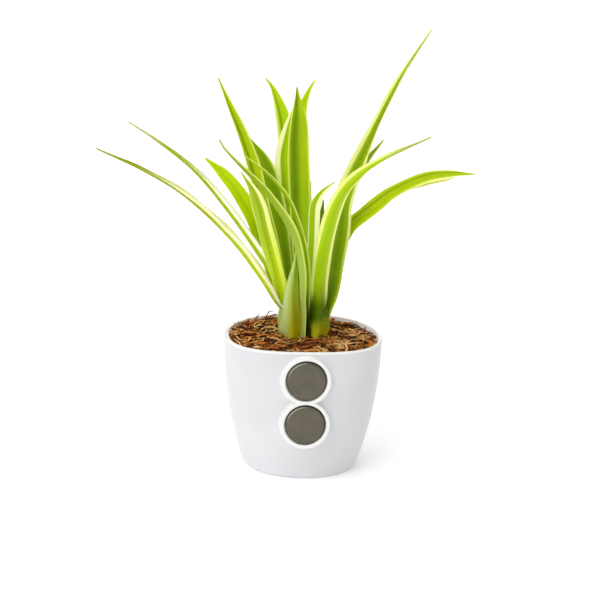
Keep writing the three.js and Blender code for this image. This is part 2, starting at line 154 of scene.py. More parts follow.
# Coconut fibre
COIR_TOP = 64
COIR_GAP = 0.3  # between the fibre and the pot
COIR_SUNK = 0.9  # the bed lies this far under the tops of the loose fibres
COIR_SHOULDER = 2.5  # the wall of the bed ends this far below its top
COIR_SIDES = 160
COIR_TOP_RINGS = 44
MOUND_HEIGHT = 1.6
MOUND_PLACE = (-20, 16)
MOUND_SPREAD = 300
RIPPLE_HEIGHT = 0.25
RIPPLES = (0.55, 0.5)  # how close the ripples are, across and in depth
BED_STEPS = {"bend": 5, "side": 12}
BED_RIM_INSET = 0.2  # the top's first ring, in from the side
LUMPS = [(0.16, 3.1, 0.9), (0.5, 7.7, 0.5)]  # closeness, place in the noise and height
COIR_BROWNS = ("0C0300", "321100", "6C3000", "A65606", "D08420", "FAD088")
COIR_PATCHES = (85, 3)
COIR_FLECKS = (1300, 3)
PATCH_SHARE = 0.7  # how much the patches and the flecks change the tone
FLECK_SHARE = 0.4
COIR_SHEEN = 0.3
COIR_ROUGHNESS = (0.65, 0.9)
COIR_DENT = (0.4, 0.1)
# The bed is coir of a dark tone, kept darker than the loose fibres as painted shade in the gaps between them
BED_TONE = 0.15
BED_SPREAD = 0.3
FIBRE_SPREAD = 1.0

# Loose fibres, in metres: how many, how long and thick, how they bend and lie
FIBRES = {
    "fine_fibres": {
        "Fibres per square metre": 2.4e5, "Shortest": 0.005, "Longest": 0.014, "Thinnest": 0.0001,
        "Thickest": 0.0003, "Curl": 0.004, "Tilt": 0.3, "Lift": 0.001, "Bends": 7, "Seed": 11,
    },
    "coarse_fibres": {
        "Fibres per square metre": 1.3e5, "Shortest": 0.009, "Longest": 0.019, "Thinnest": 0.00022,
        "Thickest": 0.0006, "Curl": 0.008, "Tilt": 0.34, "Lift": 0.0014, "Bends": 9, "Seed": 29,
    },
}
FIBRE_INSET = 2.6  # fibres stay this far in from the rim's outline
FIBRE_SQUARENESS = FRONT_SQUARENESS * 0.95  # the plan's squareness at the fibres' height
FIBRE_SIDES = 4
BEND_CLOSENESS = 130.0
BEND_SPREAD = (2.0, 2.0, 0.7)  # fibres bend less up and down than sideways
NOISE_APART = 400.0  # how far apart in the noise the fibres take their bends
FIBRE_TAPER = 3.0
FIBRE_END = 0.25  # the thickness at a fibre's ends, as a share of that in its middle

# Larger strands
STRANDS = [
    # x, y, way it lies in degrees, length, bow
    (-24, -12, 20, 17, 2), (-14, -21, -25, 15, -2), (-27, 5, 70, 13, 2), (-17, 19, 10, 15, 3),
    (3, -23, 4, 16, 2), (22, -14, 48, 14, -3), (27, 2, -62, 14, 2), (15, 21, -30, 13, 2),
]
STRAND_RADIUS = 0.42
STRAND_SIDES = 8
STRAND_POINTS = 6
STRAND_LIFT = 0.75
STRAND_SWAY = 0.5
STRAND_STEPS = 26
STRAND_ROUGHNESS = 0.5
STRAND_UPRIGHT = 1e-3  # a stretch this close to upright is turned about X
STRAND_TONE = 0.35
TONE_STEP = 0.08  # each strand is paler than the one before by this
LOOP_STRAND = [
    (-17.6, 26, 63), (-17.2, 26.2, 66), (-16.9, 26.4, 68.3), (-15.9, 26.7, 70.3), (-14.5, 27, 71),
    (-13.3, 27, 70.2),
]
LOOP_RADIUS = 0.26
LOOP_STEPS = 40
LOOP_ROUGHNESS = 0.3
LOOP_TONE = 0.05
LOOP_OWN = 20  # its own place in the noise that makes strands uneven

# Crowns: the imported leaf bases. The rings are (height, half width, half depth), and the axis leans by so
# much for each millimetre above the base. The greens change between two heights.
CROWN_BASE = 57
CROWN_SIDES = 72
CROWN_PIECES = 6
CROWN_RIBS = [(0.035, 5, 0.05), (0.012, 17, 0)]  # depth, count and twist with height
CROWN_STREAK = "7C8400"
CROWN_FLUTES = (900.0, 900.0, 40.0)  # how close the fine ribs in the colour are, along X, Y and Z
CROWN_GRAIN = (0.6, 2)
CROWN_SHEEN = 0.25
CROWN_ROUGHNESS = (0.4, 0.55)
CROWN_DENT = (0.3, 0.15)
CROWNS = {
    "left": {
        "foot": (-5, 2), "lean": (-0.09, 0.05), "greens": ("C8C840", "B0C058"), "change": (62, 78),
        "rings": [
            (60, 4.2, 3.4), (62, 5, 4.1), (66, 5.6, 4.7), (72, 6, 5.2), (77, 5.4, 4.6), (80, 4.4, 3.8),
            (84, 3, 2.8), (88, 1.2, 1.2),
        ],
    },
    "right": {
        "foot": (5.5, 4), "lean": (0.2, 0.05), "greens": ("DCD838", "4E6C00"), "change": (70, 76.5),
        "rings": [
            (60, 3.1, 3.2), (62, 3.7, 4), (66, 4, 4.5), (72, 4.4, 4.5), (76, 4.2, 3.9), (79, 3.2, 3),
            (82, 1.6, 1.5),
        ],
    },
}

# Leaf blades
BLADE_THICKNESS = 0.5
EDGE_THICKNESS = 0.24
BLADE_STATIONS = 96
BLADE_ACROSS = 25
KEEL_ROUNDNESS = 0.16  # how wide the rounded bottom of the fold is, as a share of the half blade
EDGE_WAVE = 0.3
LEAF_WAVES = (2.0, 3.3, 4.6)  # how many waves an edge has, leaf by leaf
WAVES_ELSEWHERE = 3.0
WAVE_SKEW = 1.7
FULL_WAVE_WIDTH = 4  # a blade whose half is narrower than this waves less
PATH_PIECES = 24

# How light goes into a leaf: how much of it, how far for red, green and blue, and over what size
LEAF_SOAK = 0.5
LEAF_SOAK_REACH = (0.9, 1.0, 0.25)
LEAF_SOAK_SIZE = 1.0
LEAF_SHEEN = 0.14
LEAF_ROUGHNESS = (0.42, 0.58)
LEAF_DENT = (0.3, 0.12)
LEAF_MOTTLE = (160, 3)

# Noise along a leaf: how close it is across and up, its scale and its detail
STREAKS = (4.0, 2.5, 1.6, 3)
VEINS = (22.0, 3.0, 1.0, 2)

# Greens and creams that leaves share
LIME = "C0DC00"
BRIGHT = "A8CC00"
FRESH = "94BC00"
LEAF = "7FA800"
DEEP = "6A8C00"
OLIVE = "A2A400"
MARGIN_VEIN = "DCEC60"
SPARKLE = "D0E000"
DRY = "B8A458"
DRY_PALE = "D4C88C"

# Shares of a leaf's length, from where it leaves its crown, and of its half width
FOOT_SHADE = (-0.03, 0.16)
BASE_SHADE = (-0.1, -0.012)
GREEN_CHANGE = (0.1, 0.75)
BAND_WANDER = 0.22
BAND_SOFTNESS = 0.09

# Each leaf. The spine runs up the midrib, and widths, turns and folds are evenly spaced along it. A
# turn is the way the upper side looks: 0 to the front, 90 to the right and 180 to the back, as on an
# upright leaf. The foot is how the leaf goes down round its crown, as (x, y, z, width, fold) from the
# bottom up.
#
# The greens go from the first, low on the leaf, to the second near its tip. The foot has its own
# green, and where there is a base green that takes over right at the bottom. The margins are the
# cream shares of the half blade, first on the left and then on the right of someone who looks at the
# upper side. A foot cream is the margins' colour low down, which turns to the cream between two
# places on the leaf. With a plain foot the margins come in between two places, and with a plain tip
# they fade out between two. Soft is how gradual their edges are. Glow is a painted glow: how strongly
# the cream emits light, standing in for light through the thin pale tissue. The shade line is painted
# shade, a darker line along the blade where its fold or a leaf in front shades it: its strength, place
# and width. Dry is the share of the leaf that has withered, from the tip down.
LEAVES = {
    "front_sheath": {
        "foot": [(-4.9, -3.2, 60, 15, 52), (-5.0, -4.2, 63.5, 19, 50)],
        "spine": [
            (-5.3, -5, 69), (-5.9, -5.5, 77), (-6.4, -5.5, 86), (-6, -5.5, 95), (-5.2, -5.3, 104),
            (-5, -5, 110.8),
        ],
        "widths": [17, 11.8, 9, 6.4, 3.2, 0.5],
        "turns": [180, 180], "folds": [38, 20],
        "greens": ("B4B210", "A2C034"), "foot_green": "C8C000",
        "margins": (0.0, 0.6), "cream": "C4D88C",
        "soft": 0.4,
        "shade_line": (0.3, -0.3, 0.5),
    },
    "front_arch": {
        "foot": [(-1.6, -0.6, 60, 5, 30), (-1.5, -1.6, 68, 6, 38)],
        "spine": [
            (-1, -2, 78), (-2, -4, 86), (-3, -7, 99.5), (-5.5, -10.5, 113), (-9.5, -14, 123.5),
            (-14.5, -17, 132.5), (-22, -21, 143.5), (-30, -24, 152.5), (-42, -29, 166.5),
            (-45, -31, 171.5),
        ],
        "widths": [5, 6.5, 8, 7.8, 6, 3, 0.6],
        "turns": [110, 110], "folds": [45, 50],
        "greens": ("B0C858", "90AC18"), "foot_green": "B4C460",
        "margins": (0.13, 0.13), "cream": "DCF070",
        "shade_line": (0.15, 0, 0.3), "dry": 0.05,
    },
    "right_front": {
        "foot": [(6.2, 0.0, 59.5, 12, 30), (6.9, -0.9, 66, 12.5, 28), (7.7, -1.0, 72, 14, 30)],
        "spine": [
            (7, 0, 78), (7.2, -2.5, 85), (7.3, -5, 95.5), (8.8, -9, 113), (12.5, -13, 131),
            (17.5, -17, 143.5), (25.5, -21, 153.5), (34.5, -24, 161), (47, -27, 168.5), (57, -29, 174),
        ],
        "widths": [13, 11, 10, 9.5, 9, 7, 3.4, 0.7],
        "turns": [-180, -180, -160, -130, -105], "folds": [45, 28, 30, 45],
        "greens": ("B0D400", "B8D410"), "foot_green": "506E00", "base_green": "CCCC1C",
        "margins": (0.36, 0.34), "cream": "F0FA90",
        "plain_foot": (-0.02, 0.12), "glow": 0.1,
        "shade_line": (0.2, 0.1, 0.35), "dry": 0.26, "dry_colour": "A8AC54",
    },
    "front_thin": {
        "foot": [(1.8, 1.8, 62, 5, 30), (1.8, 1.4, 70, 6, 30)],
        "spine": [
            (0.5, 1, 78), (1, 0, 86), (0.5, -2.5, 99), (-1.5, -5, 112), (-6, -8.5, 128), (-11, -11, 139),
            (-20.5, -14, 151), (-31.5, -17, 160.5),
        ],
        "widths": [6, 4.6, 5.2, 4.2, 2.8, 0.6],
        "turns": [100, 110], "folds": [40, 45],
        "greens": ("B0D000", "A0BC00"), "foot_green": "3C5000",
        "margins": (0.2, 0.2), "cream": "E8F878",
        "plain_foot": (-0.02, 0.15),
        "shade_line": (0.3, 0, 0.3),
    },
    "left_bright": {
        "foot": [(-8.6, 2.2, 61, 5, 40), (-8.2, 0.4, 68, 5, 36)],
        "spine": [
            (-7, 0, 76), (-10.5, -0.5, 84), (-15, -1, 98.5), (-18, -2, 109), (-21, -3, 120),
            (-24, -4.5, 131.5), (-27.5, -6, 141.5), (-33, -7, 150.5),
        ],
        "widths": [5, 8.5, 9.5, 9.5, 7.5, 0.8],
        "turns": [150, 150], "folds": [30, 20],
        "greens": ("D4EC00", "ACC41C"), "foot_green": "C8D870",
        "margins": (0.46, 0.1), "cream": "F8FCB0", "foot_cream": ("DCEE4C", 0.3, 0.95),
        "glow": 0.2,
        "shade_line": (0.3, -0.1, 0.35),
    },
    "left_low": {
        "foot": [(-9.8, 3.2, 60, 5, 45), (-9.9, 3.2, 68, 5, 48)],
        "spine": [
            (-9, 3, 76), (-14, 0.5, 82.5), (-22, -3, 95.5), (-38, -7, 117), (-61, -12, 139.5),
            (-80, -16, 152), (-103.5, -20, 164),
        ],
        "widths": [5, 9, 8.6, 6.2, 3.4, 0.4],
        "turns": [90, 90], "folds": [50, 50],
        "greens": ("B8D400", "98A018"), "foot_green": "C0CC60",
        "margins": (0.4, 0.45), "cream": "FAF8C0",
        "plain_tip": (0.6, 0.85), "glow": 0.1,
        "shade_line": (0.1, 0, 0.2), "dry": 0.02,
    },
    "left_mid": {
        "spine": [
            (-7, 5, 77), (-12.5, 5.5, 89.5), (-20, 7, 100.5), (-37, 10, 124.5), (-55.5, 13, 146),
            (-74, 15, 160.5), (-88, 17, 169.5),
        ],
        "widths": [5, 8.8, 8.5, 6.5, 3.2, 0.3],
        "turns": [90, 90], "folds": [50, 50],
        "greens": ("B0CC00", "A0B010"), "foot_green": FRESH,
        "margins": (0.34, 0.5), "cream": "FCFCE0",
        "plain_tip": (0.5, 0.8), "glow": 0.22,
        "shade_line": (0.2, 0, 0.2), "dry": 0.2, "dry_colour": "D0C090",
    },
    "left_tall": {
        "spine": [
            (-5, 6, 78), (-10, 6.5, 88), (-17, 8, 112.5), (-21.5, 9, 128.5), (-26.5, 10, 148),
            (-32.5, 11, 165), (-39, 12, 180), (-44.5, 13, 193),
        ],
        "widths": [5, 7.5, 8.5, 7, 0.8],
        "turns": [25, 35], "folds": [25, 30],
        "greens": ("B0CC00", "BCD000"), "foot_green": BRIGHT,
        "margins": (0.22, 0.2), "cream": "EEFA80",
        "shade_line": (0.8, -0.12, 0.28),
    },
    "left_short": {
        "spine": [
            (-6, 7, 78), (-13.5, 10, 89), (-22, 13.5, 111.5), (-27.5, 15, 125), (-34, 17, 135.5),
            (-41.5, 20, 144), (-49.5, 22, 150.5),
        ],
        "widths": [4, 7.6, 9, 9, 8.8, 8, 6, 1.2],
        "turns": [50, 15], "folds": [20, 20],
        "greens": ("D0E800", "C4DC00"), "foot_green": FRESH,
        "margins": (0.06, 0.06), "cream": "E4F860",
        "shade_line": (0.15, 0, 0.3),
    },
    "left_broad": {
        "spine": [
            (-4, 7, 78), (-8, 11, 87), (-9.5, 14.5, 98), (-11.5, 17, 110.5), (-13.5, 19, 123),
            (-16.5, 21.5, 137), (-21, 24, 150), (-28, 27, 160.5),
        ],
        "widths": [5, 9, 10, 10.5, 8.5, 0.8],
        "turns": [20, 20], "folds": [25, 20],
        "greens": ("B4CC00", "98B800"), "foot_green": LEAF,
        "margins": (0.0, 0.2), "cream": "ECF890",
        "shade_line": (0.5, 0.35, 0.6),
    },
    "centre_small": {
        "spine": [
            (4, 3, 79), (3.5, 3.5, 90), (4, 4, 102), (4.5, 4, 112), (4.5, 4, 124), (5, 4, 132),
            (8, 3, 138.5), (13.5, 2, 144),
        ],
        "widths": [3.5, 5, 6, 6.5, 5.5, 0.8],
        "turns": [-20, -20], "folds": [25, 25],
        "greens": ("C0DC20", "B0D010"), "foot_green": LEAF,
        "margins": (0.12, 1.0), "cream": "FCFFC0",
        "glow": 0.15,
        "shade_line": (0.2, 0, 0.3), "dry": 0.02,
    },
    "right_tall": {
        "foot": [(8.1, 3.6, 60, 7, 30), (9.1, 3.8, 68, 7.8, 26)],
        "spine": [
            (10.1, 5, 76), (13.5, 5, 87), (15.6, 6, 103), (17.8, 7.5, 118), (18.6, 9, 131),
            (21.5, 10, 140.5), (28.5, 11, 156.5), (37, 13, 175), (47, 14, 196), (60, 16, 218),
        ],
        "widths": [8.4, 9.4, 10.5, 10.5, 8.5, 6.5, 4, 0.8],
        "turns": [-10, -10, -20, -50, -65, -65], "folds": [25, 20, 35, 40],
        "greens": ("88AC00", "A4B800"), "foot_green": "587800",
        "margins": (0.42, 0.3), "cream": "F4FA9C", "foot_cream": ("B4C028", 0.08, 0.34),
        "shade_line": (0.55, 0.0, 0.55),
    },
    "centre_sliver": {
        "spine": [(6.5, 7, 79), (6.5, 9, 98), (7.5, 9.5, 111), (8.5, 10, 124), (9, 10, 133)],
        "widths": [3, 6, 7, 5.5, 0.8],
        "turns": [-30, -30], "folds": [25, 25],
        "greens": ("7C9400", "708800"), "foot_green": DEEP,
        "margins": (0.1, 0.1), "cream": "C8DC60",
        "shade_line": (0.4, 0, 0.4),
    },
    "centre_broad": {
        "foot": [(-0.6, 3.6, 66, 7, 20)],
        "spine": [
            (-1, 5, 79), (-0.5, 7, 90), (-1.5, 10.5, 110), (-3, 14.5, 135), (-4, 18, 157),
            (-4, 20.5, 172), (-5, 23, 187),
        ],
        "widths": [4, 8.5, 11, 11.5, 11.5, 9.5, 0.8],
        "turns": [5, 5], "folds": [25, 18],
        "greens": ("A4C400", "A8C400"), "foot_green": DEEP,
        "margins": (0.17, 0.12), "cream": "E0F060",
        "shade_line": (0.8, -0.38, 0.75),
    },
    "right_low": {
        "foot": [(10.2, 5.6, 60, 5, 30), (10.6, 5.8, 70, 5.5, 30)],
        "spine": [
            (8.5, 7, 79), (13.5, 10, 87), (17.5, 12, 102.5), (20.5, 13, 112.6), (24.4, 13, 119),
            (29.6, 13, 123.4), (37.2, 12, 130.2), (43.7, 11, 135.8), (59.4, 9, 144.3), (71, 7, 147),
            (83, 5, 148.2),
        ],
        "widths": [4, 6.5, 8, 9.4, 9.8, 9.2, 7.6, 5.8, 0.8],
        "turns": [-30, -48, -50], "folds": [30, 35],
        "greens": ("C8D800", "B8CC00"), "foot_green": OLIVE,
        "margins": (0.05, 0.34), "cream": "F0F4A0",
        "plain_foot": (0.5, 0.9),
        "shade_line": (0.6, -0.6, 0.18),
    },
    "centre_pale": {
        "spine": [
            (1.8, 6, 82), (2.6, 13, 95), (3.0, 16, 109.5), (3.0, 18, 123), (3.0, 20, 135), (3.2, 21, 140),
        ],
        "widths": [3, 5, 5, 4.2, 2.4, 0.6],
        "turns": [10, 10], "folds": [10, 10],
        "greens": ("E8F4A0", "F0F8B0"), "foot_green": FRESH,
        "margins": (0.5, 0.5), "cream": "FFFFC8",
        "glow": 0.4,
        "shade_line": (0.1, 0, 0.3),
    },
    "centre_cream": {
        "spine": [
            (-3, 8, 82), (-5, 17, 97.5), (-8, 22.5, 118), (-10, 26, 137), (-11, 28.5, 151),
            (-9.5, 30, 160), (-6.8, 33, 171), (-5.3, 34, 175.5),
        ],
        "widths": [4, 8, 9.5, 9.5, 8.5, 6, 0.8],
        "turns": [5, 0], "folds": [14, 8],
        "greens": ("BCD800", "B8D400"), "foot_green": LEAF,
        "margins": (0.75, 0.3), "cream": "FFFFC8",
        "glow": 0.2,
        "shade_line": (0.2, 0, 0.3),
    },
    # Painted shade: this leaf's greens and cream are darker, for the shade it lies in behind the leaves in
    # front
    "right_dark": {
        "spine": [
            (9.5, 8.5, 79), (12, 13, 88), (14.5, 16, 100), (18, 20.5, 117), (22, 24, 130),
            (26.5, 27, 139.5), (31.5, 30, 148), (40, 34, 158.5),
        ],
        "widths": [3, 6, 7.5, 8, 6, 0.8],
        "turns": [-45, -40], "folds": [35, 35],
        "greens": ("809820", "8CA030"), "foot_green": DEEP,
        "margins": (0.15, 0.15), "cream": "D0E080",
        "shade_line": (0.3, 0, 0.3), "dry": 0.01,
    },
    "back_left": {
        "spine": [
            (-2.5, 9, 82), (-3.5, 18, 98), (-6, 27, 122), (-8, 33, 142), (-10, 41, 164.5),
            (-12.5, 45, 174), (-16, 49, 182), (-19, 52, 185.5),
        ],
        "widths": [4, 7, 8, 8.5, 8, 0.8],
        "turns": [10, 10], "folds": [20, 20],
        "greens": ("BCD800", "B8D400"), "foot_green": LEAF,
        "margins": (0.3, 0.12), "cream": "ECF890",
        "shade_line": (0.7, -0.3, 0.25),
    },
    "back_right": {
        "spine": [
            (0, 8.5, 83), (-0.5, 16, 100), (-2, 25, 128), (-2.5, 32, 153), (-1, 37, 172),
            (2, 39.5, 181.5), (5, 41, 187),
        ],
        "widths": [4, 6, 7.5, 8, 7.5, 0.8],
        "turns": [-30, -30], "folds": [20, 20],
        "greens": ("BCD800", "B8D400"), "foot_green": LEAF,
        "margins": (0.15, 0.15), "cream": "E8F480",
        "shade_line": (0.3, 0, 0.3),
    },
}

# A thin strip of the right low leaf's pale underside that has turned over and shows along its lower edge.
TURNED_EDGE = {
    "spine": [
        (52.2, 10.2, 139.2), (55.6, 9.6, 140.9), (59.8, 9, 142.9), (63.4, 8.3, 143.9), (66.7, 7.8, 144.7),
        (70.4, 7.1, 145.5), (73.5, 6.6, 146.9),
    ],
    "widths": [0.4, 2, 2.8, 2.8, 2.4, 1.8, 0.4],
    "turns": [10, 10], "folds": [8, 8],
    "greens": ("F4FA90", "F0F488"), "foot_green": "D8E070",
    "margins": (1.1, 0.0), "cream": "F8FC9C",
    "glow": 0.4,
    "shade_line": (0.45, 0.5, 0.4),
}


# Camera, lights and floor

def make_camera():
    around, above, roll = (math.radians(angle) for angle in (CAMERA_AROUND, CAMERA_ABOVE, CAMERA_ROLL))
    level = Vector((math.sin(around), -math.cos(around), 0))
    back = level * math.cos(above) + Vector((0, 0, math.sin(above)))
    right = Vector((math.cos(around), math.sin(around), 0))
    up = back.cross(right)
    rolled_right = math.cos(roll) * right + math.sin(roll) * up
    rolled_up = math.cos(roll) * up - math.sin(roll) * right
    data = bpy.data.cameras.new("camera")
    data.lens = CAMERA_LENS
    data.sensor_width = CAMERA_SENSOR
    data.clip_start, data.clip_end = CAMERA_CLIP
    camera = bpy.data.objects.new("camera", data)
    bpy.context.scene.collection.objects.link(camera)
    turn = Matrix((rolled_right, rolled_up, back)).transposed().to_4x4()
    camera.matrix_world = Matrix.Translation((Vector(CAMERA_TARGET) + back * CAMERA_AWAY) * MM) @ turn
    bpy.context.scene.camera = camera


def make_lights():
    scene = bpy.context.scene
    scene.view_settings.view_transform = "Standard"
    world = bpy.data.worlds.new("studio")
    world.use_nodes = True
    sky = world.node_tree.nodes["Background"].inputs
    sky["Color"].default_value = (1, 1, 1, 1)
    sky["Strength"].default_value = SKY_STRENGTH
    scene.world = world
    for name, (place, softness, strength) in LAMPS.items():
        light = bpy.data.lights.new(name, "SUN")
        light.angle = math.radians(softness)
        light.energy = strength
        lamp = bpy.data.objects.new(name, light)
        lamp.location = place
        lamp.rotation_euler = (-Vector(place)).to_track_quat("-Z", "Y").to_euler()
        scene.collection.objects.link(lamp)


def make_floor():
    corners = [(x * FLOOR_REACH, y * FLOOR_REACH, 0) for x, y in ((-1, -1), (1, -1), (1, 1), (-1, 1))]
    mesh = bpy.data.meshes.new("floor")
    mesh.from_pydata([Vector(corner) * MM for corner in corners], [], [(0, 1, 2, 3)])
    mesh.materials.append(floor_finish())
    floor = bpy.data.objects.new("floor", mesh)
    bpy.context.scene.collection.objects.link(floor)


# Node helpers

def linear(screen, alpha=1.0):
    """A hexadecimal screen colour as linear light."""
    parts = [int(screen[i:i + 2], 16) / 255 for i in (0, 2, 4)]
    return tuple(p / 12.92 if p <= 0.04045 else ((p + 0.055) / 1.055) ** 2.4 for p in parts) + (alpha,)


def feed(tree, socket, value):
    """Gives a socket a value, or links another node's output to it."""
    if isinstance(value, bpy.types.NodeSocket):
        tree.links.new(value, socket)
    else:
        socket.default_value = value


def add_node(tree, kind, inputs=None, **settings):
    """Adds a node, with its settings and its inputs, which are values or other nodes' outputs."""
    node = tree.nodes.new(kind)
    for name, value in settings.items():
        setattr(node, name, value)
    for name, value in (inputs or {}).items():
        feed(tree, node.inputs[name], value)
    return node


def output(tree, kind, inputs=None, **settings):
    """Adds a node and gives its first output."""
    return add_node(tree, kind, inputs, **settings).outputs[0]


def calc(tree, operation, *values, clamp=False):
    inputs = dict(enumerate(values))
    return output(tree, "ShaderNodeMath", inputs, operation=operation, use_clamp=clamp)


def times(tree, first, *others):
    """The product of two or more numbers."""
    for other in others:
        first = calc(tree, "MULTIPLY", first, other)
    return first


def plus(tree, first, *others):
    """The sum of two or more numbers."""
    for other in others:
        first = calc(tree, "ADD", first, other)
    return first


def less(tree, first, second):
    return calc(tree, "SUBTRACT", first, second)


def vector_calc(tree, operation, *values):
    node = add_node(tree, "ShaderNodeVectorMath", dict(enumerate(values)), operation=operation)
    return node.outputs["Value" if operation in ("LENGTH", "DOT_PRODUCT") else "Vector"]


def scaled(tree, vector, scale):
    node = add_node(tree, "ShaderNodeVectorMath", {0: vector, "Scale": scale}, operation="SCALE")
    return node.outputs["Vector"]


def split(tree, vector):
    return add_node(tree, "ShaderNodeSeparateXYZ", {0: vector}).outputs


def joined(tree, x=0.0, y=0.0, z=0.0):
    return output(tree, "ShaderNodeCombineXYZ", {"X": x, "Y": y, "Z": z})


def ramp(tree, value, low, high, low_to=0.0, high_to=1.0):
    """Goes smoothly from one number to another as the value passes from low to high."""
    inputs = {"Value": value, "From Min": low, "From Max": high, "To Min": low_to, "To Max": high_to}
    return add_node(tree, "ShaderNodeMapRange", inputs, interpolation_type="SMOOTHSTEP").outputs["Result"]


def grain(tree, vector, scale, detail=3.0, roughness=0.55):
    """Noise from 0 to 1 round a half."""
    inputs = {"Vector": vector, "Scale": scale, "Detail": detail, "Roughness": roughness}
    return output(tree, "ShaderNodeTexNoise", inputs)


def mixed(tree, share, first, second):
    """One colour over another. A colour is a screen colour or an output."""
    node = add_node(tree, "ShaderNodeMix", data_type="RGBA")
    feed(tree, node.inputs[0], share)
    for socket, colour in ((node.inputs[6], first), (node.inputs[7], second)):
        feed(tree, socket, linear(colour) if isinstance(colour, str) else colour)
    return node.outputs[2]


def new_material(name):
    material = bpy.data.materials.new(name)
    material.use_nodes = True
    tree = material.node_tree
    return material, tree, tree.nodes["Principled BSDF"]


def object_place(tree):
    return add_node(tree, "ShaderNodeTexCoord").outputs["Object"]


def dent(tree, shader, height, strength, distance):
    """Bumps a surface by a height from 0 to 1, over a distance in millimetres."""
    inputs = {"Height": height, "Strength": strength, "Distance": distance * MM}
    tree.links.new(output(tree, "ShaderNodeBump", inputs), shader.inputs["Normal"])


# Materials

def nearest_magnet(tree, parts):
    """How far a place is from the nearer magnet's middle, seen from the front."""
    away = [vector_calc(tree, "LENGTH", joined(tree, parts["X"], 0.0, less(tree, parts["Z"], height * MM)))
            for height in MAGNET_HEIGHTS.values()]
    return calc(tree, "MINIMUM", *away)


def pot_plastic():
    """White plastic with a faint moulded texture and a little soil dust inside the rim. The rim, the inside
    and the edge of the boss get a painted highlight, and the inside a painted glow.
    """
    material, tree, shader = new_material("white_pot_plastic")
    place = object_place(tree)
    parts = split(tree, place)
    cloud = grain(tree, place, *POT_CLOUD)
    pebble = grain(tree, place, *POT_PEBBLE)
    specks = ramp(tree, grain(tree, place, *DUST_SPECKS), 0.5, 0.62)
    white = mixed(tree, ramp(tree, cloud, 0.35, 0.65), *POT_WHITES)

    faces = add_node(tree, "ShaderNodeNewGeometry").outputs["Normal"]
    from_axis = vector_calc(tree, "MULTIPLY", place, (1.0, 1.0, 0.0))
    outward = vector_calc(tree, "DOT_PRODUCT", faces, from_axis)
    inside = calc(tree, "LESS_THAN", outward, 0.0)
    # Painted highlight: the edge of the boss round the magnets, the rim and the inside are whiter, where the
    # light burns out
    near, far = BOSS_LIGHT
    boss = ramp(tree, nearest_magnet(tree, parts), near * MM, far * MM, 1.0, 0.0)
    boss = times(tree, boss, calc(tree, "LESS_THAN", parts["Y"], BOSS_BEHIND * MM))
    low, high = RIM_LIGHT
    rim = ramp(tree, parts["Z"], low * MM, high * MM)
    bright = calc(tree, "MAXIMUM", calc(tree, "MAXIMUM", boss, inside), rim)
    white = mixed(tree, bright, white, POT_BRIGHT)

    low, high = DUST_LINE
    dust = times(tree, inside, ramp(tree, parts["Z"], low * MM, high * MM, 1.0, 0.0), specks)
    tree.links.new(mixed(tree, dust, white, SOIL_DUST), shader.inputs["Base Color"])
    # Painted glow: the inside emits light, standing in for light through the thin far wall
    tree.links.new(times(tree, inside, POT_PAINTED_GLOW), shader.inputs["Emission Strength"])
    shader.inputs["Emission Color"].default_value = (1, 1, 1, 1)
    tree.links.new(ramp(tree, pebble, 0.2, 0.8, *POT_ROUGHNESS), shader.inputs["Roughness"])
    dent(tree, shader, pebble, *POT_DENT)
    return material


def magnet_metal():
    """Dull grey-brown plating, with a painted shadow on the ledge at the upper right and a painted highlight
    on the shoulder at the upper left.
    """
    material, tree, shader = new_material("satin_magnet_plating")
    place = object_place(tree)
    parts = split(tree, place)
    mottle = grain(tree, place, *PLATING_MOTTLE)
    fine = grain(tree, place, *PLATING_GRAIN)
    tone = mixed(tree, ramp(tree, mottle, 0.3, 0.7), *PLATING)
    tone = mixed(tree, ramp(tree, fine, 0.55, 0.8, 0, 0.25), tone, PLATING_FLECK)

    upper, lower = MAGNET_HEIGHTS["upper"] * MM, MAGNET_HEIGHTS["lower"] * MM
    is_upper = calc(tree, "GREATER_THAN", parts["Z"], (upper + lower) / 2)
    rise = less(tree, less(tree, parts["Z"], lower), times(tree, is_upper, upper - lower))
    to_right, to_left = (
        plus(tree, times(tree, rise, up), times(tree, parts["X"], across))
        for across, up in (SHADOW_WAY, HIGHLIGHT_WAY))

    reach = nearest_magnet(tree, parts)
    ledge = (MAGNET_RADIUS - MAGNET_LEDGE) * MM
    on_ledge = ramp(tree, reach, ledge - 0.05 * MM, ledge + 0.15 * MM)
    # Painted shadow: the ledge darkens towards the upper right, where the ring's lip shades it
    low, high = SHADOW_REACH
    painted_shadow = times(tree, on_ledge, ramp(tree, to_right, low * MM, high * MM, *SHADOW_STRENGTH))
    tone = mixed(tree, painted_shadow, tone, LEDGE_SHADOW)
    # Painted highlight: the shoulder is lighter towards the upper left, where the key light catches it
    shoulder = times(tree, ramp(tree, reach, ledge - 0.55 * MM, ledge - 0.35 * MM),
                     less(tree, 1.0, ramp(tree, reach, ledge - 0.1 * MM, ledge + 0.1 * MM)))
    low, high = HIGHLIGHT_REACH
    painted_highlight = times(tree, shoulder, ramp(tree, to_left, low * MM, high * MM, 0.0, HIGHLIGHT_STRENGTH))
    tree.links.new(mixed(tree, painted_highlight, tone, SHOULDER_HIGHLIGHT), shader.inputs["Base Color"])
    tree.links.new(ramp(tree, mottle, 0.3, 0.7, *PLATING_ROUGHNESS), shader.inputs["Roughness"])
    shader.inputs["Metallic"].default_value = PLATING_METALLIC
    dent(tree, shader, fine, *PLATING_DENT)
    return material


